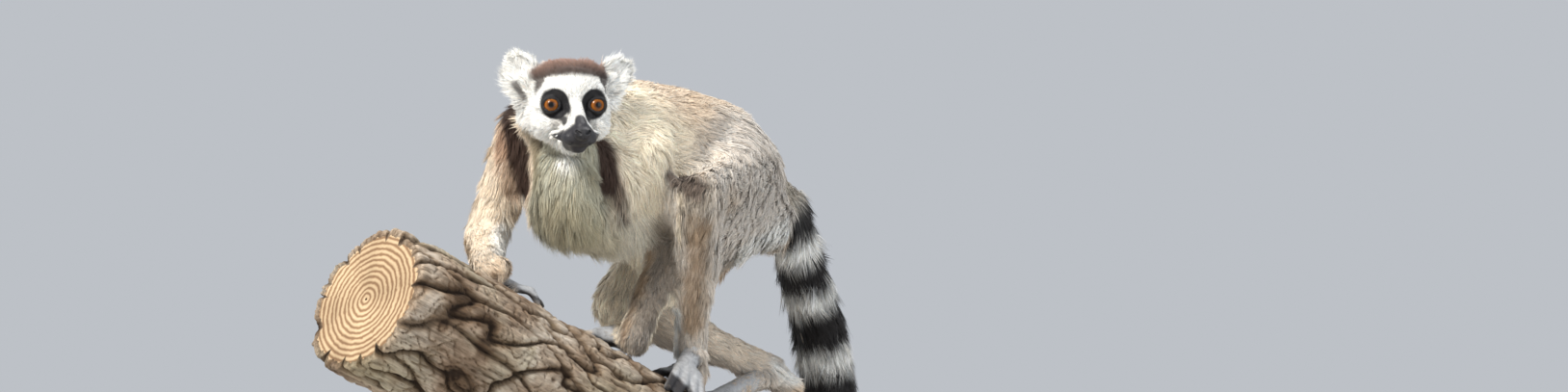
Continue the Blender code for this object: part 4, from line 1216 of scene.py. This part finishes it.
material, links, shader = new_material("lemur_hide", Specular_IOR_Level=0.45)
tree = material.node_tree
painted = add_node(tree, "Attribute", attribute_name="skin_colour")
bared = add_node(tree, "Attribute", attribute_name="bare")
place = add_node(tree, "TexCoord")
pebble = add_node(tree, "TexVoronoi", [(place.outputs["Object"], "Vector")], Scale=1500.0)
mottle = add_node(tree, "TexNoise", [(place.outputs["Object"], "Vector")], Scale=320.0, Detail=6.0, Roughness=0.6)
shade = ramp_node(tree, mottle.outputs["Fac"], ((0.3, (0.72, 0.70, 0.70)), (0.7, (1.18, 1.17, 1.16))))
spread = add_node(
    tree, "Mix", [(painted.outputs["Color"], 6), (shade.outputs["Color"], 7)], data_type="RGBA",
    blend_type="MULTIPLY"
)
spread.inputs[0].default_value = 0.8
links.new(spread.outputs[2], shader.inputs["Base Color"])
gloss = ramp_node(tree, bared.outputs["Fac"], ((0.0, (0.85, 0.85, 0.85)), (1.0, (0.42, 0.42, 0.42))))
links.new(gloss.outputs["Color"], shader.inputs["Roughness"])
mixed = add_node(tree, "Math", [(pebble.outputs["Distance"], 0), (mottle.outputs["Fac"], 1)], operation="ADD")
bumps = add_node(tree, "Bump", [(mixed.outputs["Value"], "Height")], Strength=0.5, Distance=0.00025)
links.new(bumps.outputs["Normal"], shader.inputs["Normal"])

hide.name = "lemur_skin"
skin = add_object("lemur_skin", hide, material)
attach(skin, "root")
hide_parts(*FLESH)


# ---------------------------------------------------------------- the coat
# Thousands of thin tapered locks rooted in the hide and laid with the lie of the hair: short and close
# on the face, hands and feet, dense wool on the body, long and loose on breast, belly, ears and tail.

COAT_SEED = 41
LOCK_SUNK = 0.6  # how far below the hide's surface a lock starts
COAT_DENSITY = 0.62  # share of the table's hairs to a square millimetre
CLUMP_SHARE = 0.045  # one lock in this many leads a clump
OWN_PLACE = 0.6  # how far each end of a lock takes the colour of its own place
TAIL_OWN_PLACE = 0.95  # the same on the tail, whose rings stay crisp
SHEEN_OWN = 0.34  # how far a lock is shaded by its own form, the rest being the hide's
PATCH = 0.003  # the size of each lock's patch on the bake map

points, normals, triangles = arrays_of(hide)
corners = points[triangles]
spans = np.cross(corners[:, 1] - corners[:, 0], corners[:, 2] - corners[:, 0])
areas = np.linalg.norm(spans, axis=1) / 2
middles = corners.mean(axis=1)
weights, along, nearest = near_bones(middles, 14)
bareness = np.maximum(bare, lid_bare)[triangles].mean(axis=1)
padded = pads[triangles].mean(axis=1)
density = blended(weights, 7) * COAT_DENSITY * np.clip(1 - 1.3 * bareness, 0, 1) * (1 - padded)
local = to_head(middles)
front_face = on_head(middles) * smooth_step(26, 12, local[:, 1])
density = density * (1 + 0.25 * front_face)

dice = np.random.default_rng(COAT_SEED)
expected = areas * density
counts = np.floor(expected + dice.uniform(0, 1, len(expected))).astype(int)
chosen = np.repeat(np.arange(len(triangles)), counts)
one, two = dice.uniform(0, 1, (2, len(chosen)))
flip = one + two > 1
one, two = np.where(flip, 1 - one, one), np.where(flip, 1 - two, two)
shares = np.stack([1 - one - two, one, two], axis=1)[:, :, None]
roots = (corners[chosen] * shares).sum(axis=1)
outward = (normals[triangles[chosen]] * shares).sum(axis=1).astype(float)
outward /= np.maximum(np.linalg.norm(outward, axis=1, keepdims=True), 1e-9)
weights, along, nearest = near_bones(roots, 8)
local = to_head(roots)
headward = on_head(roots)
count = len(roots)


def along_surface(ways, outward):
    """Directions with what leaves the surface taken out, at unit length."""
    ways = ways - outward * (ways * outward).sum(axis=1, keepdims=True)
    return ways / np.maximum(np.linalg.norm(ways, axis=1, keepdims=True), 1e-9)


# The lie of the hair: down each bone, away from the nose over the head, up the ears
BONE_WAYS = BONE_END - BONE_START
BONE_WAYS /= np.linalg.norm(BONE_WAYS, axis=1, keepdims=True)
flow = weights @ BONE_WAYS
LOW_HAIR = {"breast": 0.9, "throat": 0.7, "belly": 0.5, "withers": 0.25, "loin": 0.3, "rump": 0.45}
low_hair = np.array([LOW_HAIR.get(row[0], 0.1) for row in BONES])
flow[:, 2] -= weights @ low_hair
turn = np.array(HEAD)[:3, :3]
from_nose = local - np.array((0, -24, -10))
from_nose[:, 1] = np.maximum(from_nose[:, 1], 4)
from_nose /= np.linalg.norm(from_nose, axis=1, keepdims=True)
from_nose += smooth_step(10, 34, local[:, 1])[:, None] * np.array((0, 0.9, -0.25))
# Below the chin and on the throat it hangs
from_nose += (smooth_step(-18, -30, local[:, 2]) * smooth_step(-10, 10, local[:, 1]))[:, None] * np.array(
    (0, 0.4, -1.2)
)
from_nose = from_nose @ turn.T
flow = flow + (from_nose - flow) * headward[:, None]
ear_share = np.zeros(count)
for side in ("left", "right"):
    share = weights[:, BONE_AT["ear_" + side]]
    ear_share += share
    up_ear = np.array(ear_frame(side).col[2].xyz)
    outer = np.array(ear_frame(side).col[0].xyz) * LEFTWARD[side] * -1
    which_edge = np.sign((roots - BONE_START[BONE_AT["ear_" + side]]) @ outer)[:, None]
    flow = flow + (up_ear + 0.45 * which_edge * outer - flow) * share[:, None]
flow = along_surface(flow, outward)

lengths = blended(weights, 3)
widths = blended(weights, 4)
lifts = np.radians(blended(weights, 5))
droops = blended(weights, 6)

# The head's hair: shortest about the eyes, longer on crown and cheeks
near_eye = np.hypot(np.abs(local[:, 0]) - 15, local[:, 2] - 1)
on_face = headward * smooth_step(40, 24, local[:, 1]) * (1 - ear_share)
face_length = 3.0 + 2.6 * smooth_step(10, 24, near_eye) + 3.6 * smooth_step(8, 26, local[:, 1])
face_length -= 1.0 * smooth_step(0, -16, local[:, 1]) * smooth_step(-34, -24, local[:, 2])
lengths = lengths + (face_length - lengths) * on_face
crown = headward * smooth_step(16, 24, local[:, 2]) * smooth_step(2, 10, local[:, 1]) * (1 - ear_share)
lengths = lengths + (6.5 - lengths) * crown * 0.8
lifts = lifts + (np.radians(46) - lifts) * crown * 0.7
# The ears' rims bristle
for side in ("left", "right"):
    inverse = np.array(ear_frame(side).inverted())
    place = roots @ inverse[:3, :3].T + inverse[:3, 3]
    share = weights[:, BONE_AT["ear_" + side]] > 0.5
    rim = smooth_step(6, 11, np.abs(place[:, 0]) + 0.55 * np.maximum(place[:, 2] - 12, 0)) * share
    lengths = lengths * (1 + 0.55 * rim)
    inner = share * (place[:, 1] < 0.6)
    lengths = np.where(inner, lengths * 0.9, lengths)
    lifts = np.where(inner, np.radians(30), lifts)
# Hands and feet: nearly bare towards the nails
for name in EXTREMITIES:
    share = weights[:, BONE_AT[name]]
    lengths = lengths * (1 - 0.35 * share * along[:, BONE_AT[name]])
# Loose hair below belly, thigh and breast stands away
underneath = smooth_step(-0.25, -0.8, outward[:, 2]) * (1 - headward)
on_trunk = sum(weights[:, BONE_AT[name]] for name in ("breast", "belly", "throat", "ham_left", "ham_right"))
lengths = lengths * (1 + 0.35 * underneath * on_trunk)

# Locks fall into clumps round a leader
leaders = dice.choice(count, int(count * CLUMP_SHARE), replace=False)
tree = KDTree(len(leaders))
for at, leader in enumerate(leaders):
    tree.insert(roots[leader], at)
tree.balance()
follows = np.array([leaders[tree.find(root)[1]] for root in roots])
uneven = dice.normal(0, 1, (count, 4))
lengths = lengths * np.clip(1 + 0.16 * uneven[:, 0] + 0.12 * uneven[follows, 1], 0.55, 1.5)
widths = widths * np.clip(1 + 0.18 * uneven[:, 1], 0.6, 1.5)
lifts = lifts * np.clip(1 + 0.14 * uneven[:, 2] + 0.10 * uneven[follows, 2], 0.4, 1.7)
sideways = np.cross(outward, flow)
swerve = np.radians(13) * uneven[:, 3] + np.radians(12) * uneven[follows, 0] + np.radians(16) * ripple(
    roots, 34, 12
)
flow = flow * np.cos(swerve)[:, None] + sideways * np.sin(swerve)[:, None]
sideways = np.cross(outward, flow)
roll = np.radians(24) * dice.normal(0, 1, count)
across = sideways * np.cos(roll)[:, None] + outward * np.sin(roll)[:, None]
ridge = np.cross(flow, across)
ridge *= np.sign((ridge * outward).sum(axis=1))[:, None]


def reach_at(share):
    """Places along every lock, at a share of its length: rising steeply, then bending to its lie."""
    angle = lifts * (1 - 0.52 * share)
    step = flow * (np.cos(angle) * share * lengths)[:, None] + outward * (np.sin(angle) * share * lengths)[:, None]
    step[:, 2] -= droops * lengths * share ** 2
    return roots - outward * LOCK_SUNK + step


tips = reach_at(1.0)
gather = np.clip(0.42 * (1 - 0.6 * on_face), 0, 1)[:, None]
tips = tips + (tips[follows] + (roots - roots[follows]) * 0.35 - tips) * gather
bellies = reach_at(0.42)
bellies = bellies + (bellies[follows] + (roots - roots[follows]) * 0.8 - bellies) * gather * 0.3

centre_of_lock = roots + (tips - roots) * 0.55
agouti = 1 + 0.13 * dice.normal(0, 1, count) + 0.07 * ripple(roots, 15, 17)
warmth = 0.03 * dice.normal(0, 1, count)
own_tint = np.clip(agouti, 0.6, 1.35)[:, None] * (1 + warmth[:, None] * np.array((1, 0, -1)))
# A little of the neighbours' colour gets in, as hairs reach past their own mark
own_place = np.array([TAIL_OWN_PLACE if row[0].startswith("tail") else OWN_PLACE for row in BONES])[nearest][
    :, None
]
mid_colour = markings(centre_of_lock + (bellies - centre_of_lock) * own_place) * own_tint
tip_colour = markings(centre_of_lock + (tips - centre_of_lock) * own_place) * own_tint
owner = np.array([BONE_PIECES[at] for at in nearest])

# Where each lock sits on the unwrapped hide: a tile for each bone, along it and round it
bone_side = np.cross(BONE_WAYS, np.array((0.13, 0.21, 0.97)))
bone_side /= np.linalg.norm(bone_side, axis=1, keepdims=True)
bone_third = np.cross(BONE_WAYS, bone_side)
spoke = roots - BONE_START[nearest]
round_bone = np.arctan2((spoke * bone_third[nearest]).sum(axis=1), (spoke * bone_side[nearest]).sum(axis=1))
round_share = round_bone / (2 * math.pi) + 0.5
long_share = (spoke * BONE_WAYS[nearest]).sum(axis=1)
bone_long = np.linalg.norm(BONE_END - BONE_START, axis=1)[nearest]
long_share = np.clip(0.1 + 0.8 * long_share / bone_long, 0.01, 0.99)

coat_material, links, shader = new_material(
    "lemur_coat", Roughness=0.72, Specular_IOR_Level=0.28, Sheen_Weight=0.12, Sheen_Roughness=0.5
)
tree = coat_material.node_tree
dyed = add_node(tree, "Attribute", attribute_name="hair_colour")
place = add_node(tree, "TexCoord")
strand = add_node(tree, "TexNoise", [(place.outputs["Object"], "Vector")], Scale=900.0, Detail=3.0, Roughness=0.7)
shade = ramp_node(tree, strand.outputs["Fac"], ((0.32, (0.80, 0.79, 0.78)), (0.66, (1.14, 1.13, 1.12))))
spread = add_node(
    tree, "Mix", [(dyed.outputs["Color"], 6), (shade.outputs["Color"], 7)], data_type="RGBA", blend_type="MULTIPLY"
)
spread.inputs[0].default_value = 0.8
links.new(spread.outputs[2], shader.inputs["Base Color"])
dull = ramp_node(tree, strand.outputs["Fac"], ((0.3, (0.80, 0.80, 0.80)), (0.7, (0.62, 0.62, 0.62))))
links.new(dull.outputs["Color"], shader.inputs["Roughness"])

# A lock's points: root, its left, ridge and right at mid length, tip
# Each lock is painted darker at its root, painted shade deep in the coat, and a little lighter at its tip.
ROOT_SHADE, MID_SHADE, TIP_SHADE = 0.74, 0.98, 1.07
for name in dict.fromkeys(BONE_PIECES):
    pick = np.nonzero(owner == name)[0]
    if not len(pick):
        continue
    half = (widths[pick] / 2)[:, None]
    middle = bellies[pick]
    lock = np.stack([
        roots[pick] - outward[pick] * LOCK_SUNK, middle - across[pick] * half,
        middle + ridge[pick] * half * 0.55, middle + across[pick] * half, tips[pick],
    ], axis=1)
    base = np.arange(len(pick))[:, None, None] * 5
    faces = base + np.array(((0, 1, 2), (0, 2, 3), (1, 4, 2), (2, 4, 3)))[None]
    mesh = mesh_from(name, lock.reshape(-1, 3), faces.reshape(-1, 3))
    middle_dye, tip_dye = mid_colour[pick] * MID_SHADE, tip_colour[pick] * TIP_SHADE
    dye = np.stack([mid_colour[pick] * ROOT_SHADE, middle_dye, middle_dye, middle_dye, tip_dye], axis=1)
    dye = np.concatenate([dye, np.ones((len(pick), 5, 1))], axis=2)
    mesh.color_attributes.new("hair_colour", "FLOAT_COLOR", "POINT").data.foreach_set(
        "color", np.clip(dye, 0, 1).astype(np.float32).ravel()
    )
    bones_here = sorted(set(nearest[pick]))
    side_count = math.ceil(math.sqrt(len(bones_here)))
    tile = np.array([bones_here.index(at) for at in nearest[pick]])
    corner = np.stack([tile % side_count, tile // side_count], axis=1)
    spot = (corner + np.stack([long_share[pick], round_share[pick]], axis=1)) / side_count
    spot = np.clip(spot, PATCH, 1 - PATCH)
    offsets = np.array(((0, -0.5), (-0.5, 0), (0, 0), (0.5, 0), (0, 0.5))) * PATCH
    flat = (spot[:, None, :] + offsets[None]).reshape(-1, 2)
    corners_of_loops = np.empty(len(mesh.loops), np.int32)
    mesh.loops.foreach_get("vertex_index", corners_of_loops)
    mesh.uv_layers.new(name="OFBake").data.foreach_set("uv", flat[corners_of_loops].astype(np.float32).ravel())
    mesh.shade_smooth()
    _, own, _ = arrays_of(mesh)
    own = own * SHEEN_OWN + np.repeat(outward[pick], 5, axis=0) * (1 - SHEEN_OWN)
    own /= np.maximum(np.linalg.norm(own, axis=1, keepdims=True), 1e-9)
    mesh.normals_split_custom_set_from_vertices(own)
    coat = add_object(name, mesh, coat_material)
    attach(coat, "root")


# ---------------------------------------------------------------- the eyes
# Blown glass eyes, painted behind: a small round pupil in an amber iris of fine spokes, a dark rim,
# and a clear bulge in front. They are set in the hide, which closes round them as lids.

PUPIL_ANGLE = 11.5
IRIS_ANGLE = 39
CORNEA_BULGE = 0.8

material, links, shader = new_material(
    "glass_eye", Roughness=0.35, Coat_Weight=0.4, Coat_Roughness=0.02, Specular_IOR_Level=0.08
)
tree = material.node_tree
swung = add_node(tree, "Attribute", attribute_name="from_gaze")
spun = add_node(tree, "Attribute", attribute_name="iris_place")
spokes = add_node(tree, "TexNoise", [(spun.outputs["Vector"], "Vector")], Scale=5.0, Detail=5.0, Roughness=0.7)
iris = ramp_node(tree, swung.outputs["Fac"], (
    (0.0, (0.003, 0.003, 0.003)), (PUPIL_ANGLE / 90, (0.004, 0.003, 0.003)), (
        PUPIL_ANGLE / 90 + 0.018, (0.055, 0.018, 0.005)
    ),
    (0.20, (0.13, 0.040, 0.007)), (0.31, (0.30, 0.098, 0.012)), (0.385, (0.18, 0.050, 0.007)),
    (IRIS_ANGLE / 90, (0.020, 0.008, 0.005)), (0.47, (0.012, 0.008, 0.007)), (1.0, (0.03, 0.022, 0.018)),
))
fibres = ramp_node(
    tree, spokes.outputs["Fac"], ((0.30, (0.45, 0.42, 0.40)), (0.52, (1.0, 1.0, 1.0)), (0.72, (1.45, 1.5, 1.7)))
)
spread = add_node(
    tree, "Mix", [(iris.outputs["Color"], 6), (fibres.outputs["Color"], 7)], data_type="RGBA",
    blend_type="MULTIPLY"
)
spread.inputs[0].default_value = 0.8
links.new(spread.outputs[2], shader.inputs["Base Color"])
relief = add_node(tree, "Bump", [(spokes.outputs["Fac"], "Height")], Strength=0.15, Distance=0.0001)
links.new(relief.outputs["Normal"], shader.inputs["Normal"])

for side in ("left", "right"):
    centre = np.array(HEAD @ Vector((LEFTWARD[side] * EYE_OUT, EYE_BACK, 0)))
    gaze = aim(*GAZE[side])
    turn = gaze.to_track_quat("Z", "Y").to_matrix()
    ball_points, ball_triangles = unit_ball(72, 72)
    swing = np.degrees(np.arccos(np.clip(ball_points[:, 2], -1, 1)))
    spin = np.arctan2(ball_points[:, 1], ball_points[:, 0])
    radius = EYE_RADIUS - 0.25 + CORNEA_BULGE * np.clip(1 - (swing / IRIS_ANGLE) ** 2, 0, 1)
    mesh = mesh_from(
        "glass_eye_" + side, (ball_points * radius[:, None]) @ np.array(turn).T + centre, ball_triangles
    )
    mesh.attributes.new("from_gaze", "FLOAT", "POINT").data.foreach_set("value", (swing / 90).astype(np.float32))
    spoke_place = np.stack([np.cos(spin) * 3.2, np.sin(spin) * 3.2, swing / 40], axis=1)
    mesh.attributes.new("iris_place", "FLOAT_VECTOR", "POINT").data.foreach_set(
        "vector", spoke_place.astype(np.float32).ravel()
    )
    mesh.shade_smooth()
    eye = add_object("glass_eye_" + side, mesh, material)
    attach(eye, "root")
    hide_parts("eye_" + side)


# ---------------------------------------------------------------- the nails
# Small flat nails of dark horn, one on the back of each digit's tip. The second toe's stands up as a
# grooming claw.

NAIL_LENGTH = 6.0
NAIL_HALF_WIDTH = 2.3

material, links, shader = new_material("nail_horn", Roughness=0.35, Coat_Weight=0.3, Coat_Roughness=0.15)
tree = material.node_tree
place = add_node(tree, "TexCoord")
streak = add_node(tree, "TexNoise", [(place.outputs["Object"], "Vector")], Scale=700.0, Detail=4.0)
tone = ramp_node(tree, streak.outputs["Fac"], ((0.35, (0.022, 0.020, 0.020)), (0.65, (0.075, 0.068, 0.064))))
links.new(tone.outputs["Color"], shader.inputs["Base Color"])
relief = add_node(tree, "Bump", [(streak.outputs["Fac"], "Height")], Strength=0.3, Distance=0.0001)
links.new(relief.outputs["Normal"], shader.inputs["Normal"])

NAIL_ROWS, NAIL_COLUMNS = 8, 9
nail_points, nail_faces = [], []
start = 0
for part, plans, size in (("hand_", HANDS, 1.0), ("foot_", FEET, 1.15)):
    for side, plan in plans.items():
        for number, stations in enumerate(plan["digits"]):
            _, before, tip = digit_places(stations)
            ahead = (tip - before).normalized()
            away = tip - PERCH_FRONT
            away = (away - PERCH_AIM * away.dot(PERCH_AIM)).normalized()
            up = (away - ahead * away.dot(ahead)).normalized()
            if part == "foot_" and number == 1:
                up = (up + ahead * 0.25).normalized()
                ahead = (ahead + up * 0.5).normalized()
            across = ahead.cross(up)
            radius = DIGIT_RADII[2] * size
            for layer in (0.0, -0.55):
                for row in range(NAIL_ROWS):
                    share = row / (NAIL_ROWS - 1)
                    arc = math.radians(55 + 125 * min(share, 0.97))
                    width = math.sin(arc) if share > 0.3 else 0.86 + 0.4 * share
                    wide = NAIL_HALF_WIDTH * size * width
                    for column in range(NAIL_COLUMNS):
                        side_share = 2 * column / (NAIL_COLUMNS - 1) - 1
                        reach = (share - 0.36) * NAIL_LENGTH * size
                        height = radius + 0.35 + layer - 1.3 * side_share ** 2 - 2.0 * max(share - 0.45, 0) ** 2 * size
                        nail_points.append(tip + ahead * reach + across * wide * side_share + up * height)
            top, below = start, start + NAIL_ROWS * NAIL_COLUMNS
            grid = lattice_faces(NAIL_ROWS, NAIL_COLUMNS, False)
            nail_faces.extend((grid + top)[:, ::-1])
            nail_faces.extend(grid + below)
            last_row = (NAIL_ROWS - 1) * NAIL_COLUMNS
            for column in range(NAIL_COLUMNS - 1):
                nail_faces.append((top + column, top + column + 1, below + column + 1, below + column))
                corner = last_row + column
                nail_faces.append((top + corner + 1, top + corner, below + corner, below + corner + 1))
            for row in range(NAIL_ROWS - 1):
                near, far = row * NAIL_COLUMNS, (row + 1) * NAIL_COLUMNS
                nail_faces.append((top + far, top + near, below + near, below + far))
                end = NAIL_COLUMNS - 1
                nail_faces.append((top + near + end, top + far + end, below + far + end, below + near + end))
            start += 2 * NAIL_ROWS * NAIL_COLUMNS
mesh = mesh_from("nails", np.array([tuple(point) for point in nail_points]), np.array(nail_faces))
mesh.shade_smooth()
nails = add_object("nails", mesh, material)
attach(nails, "root")
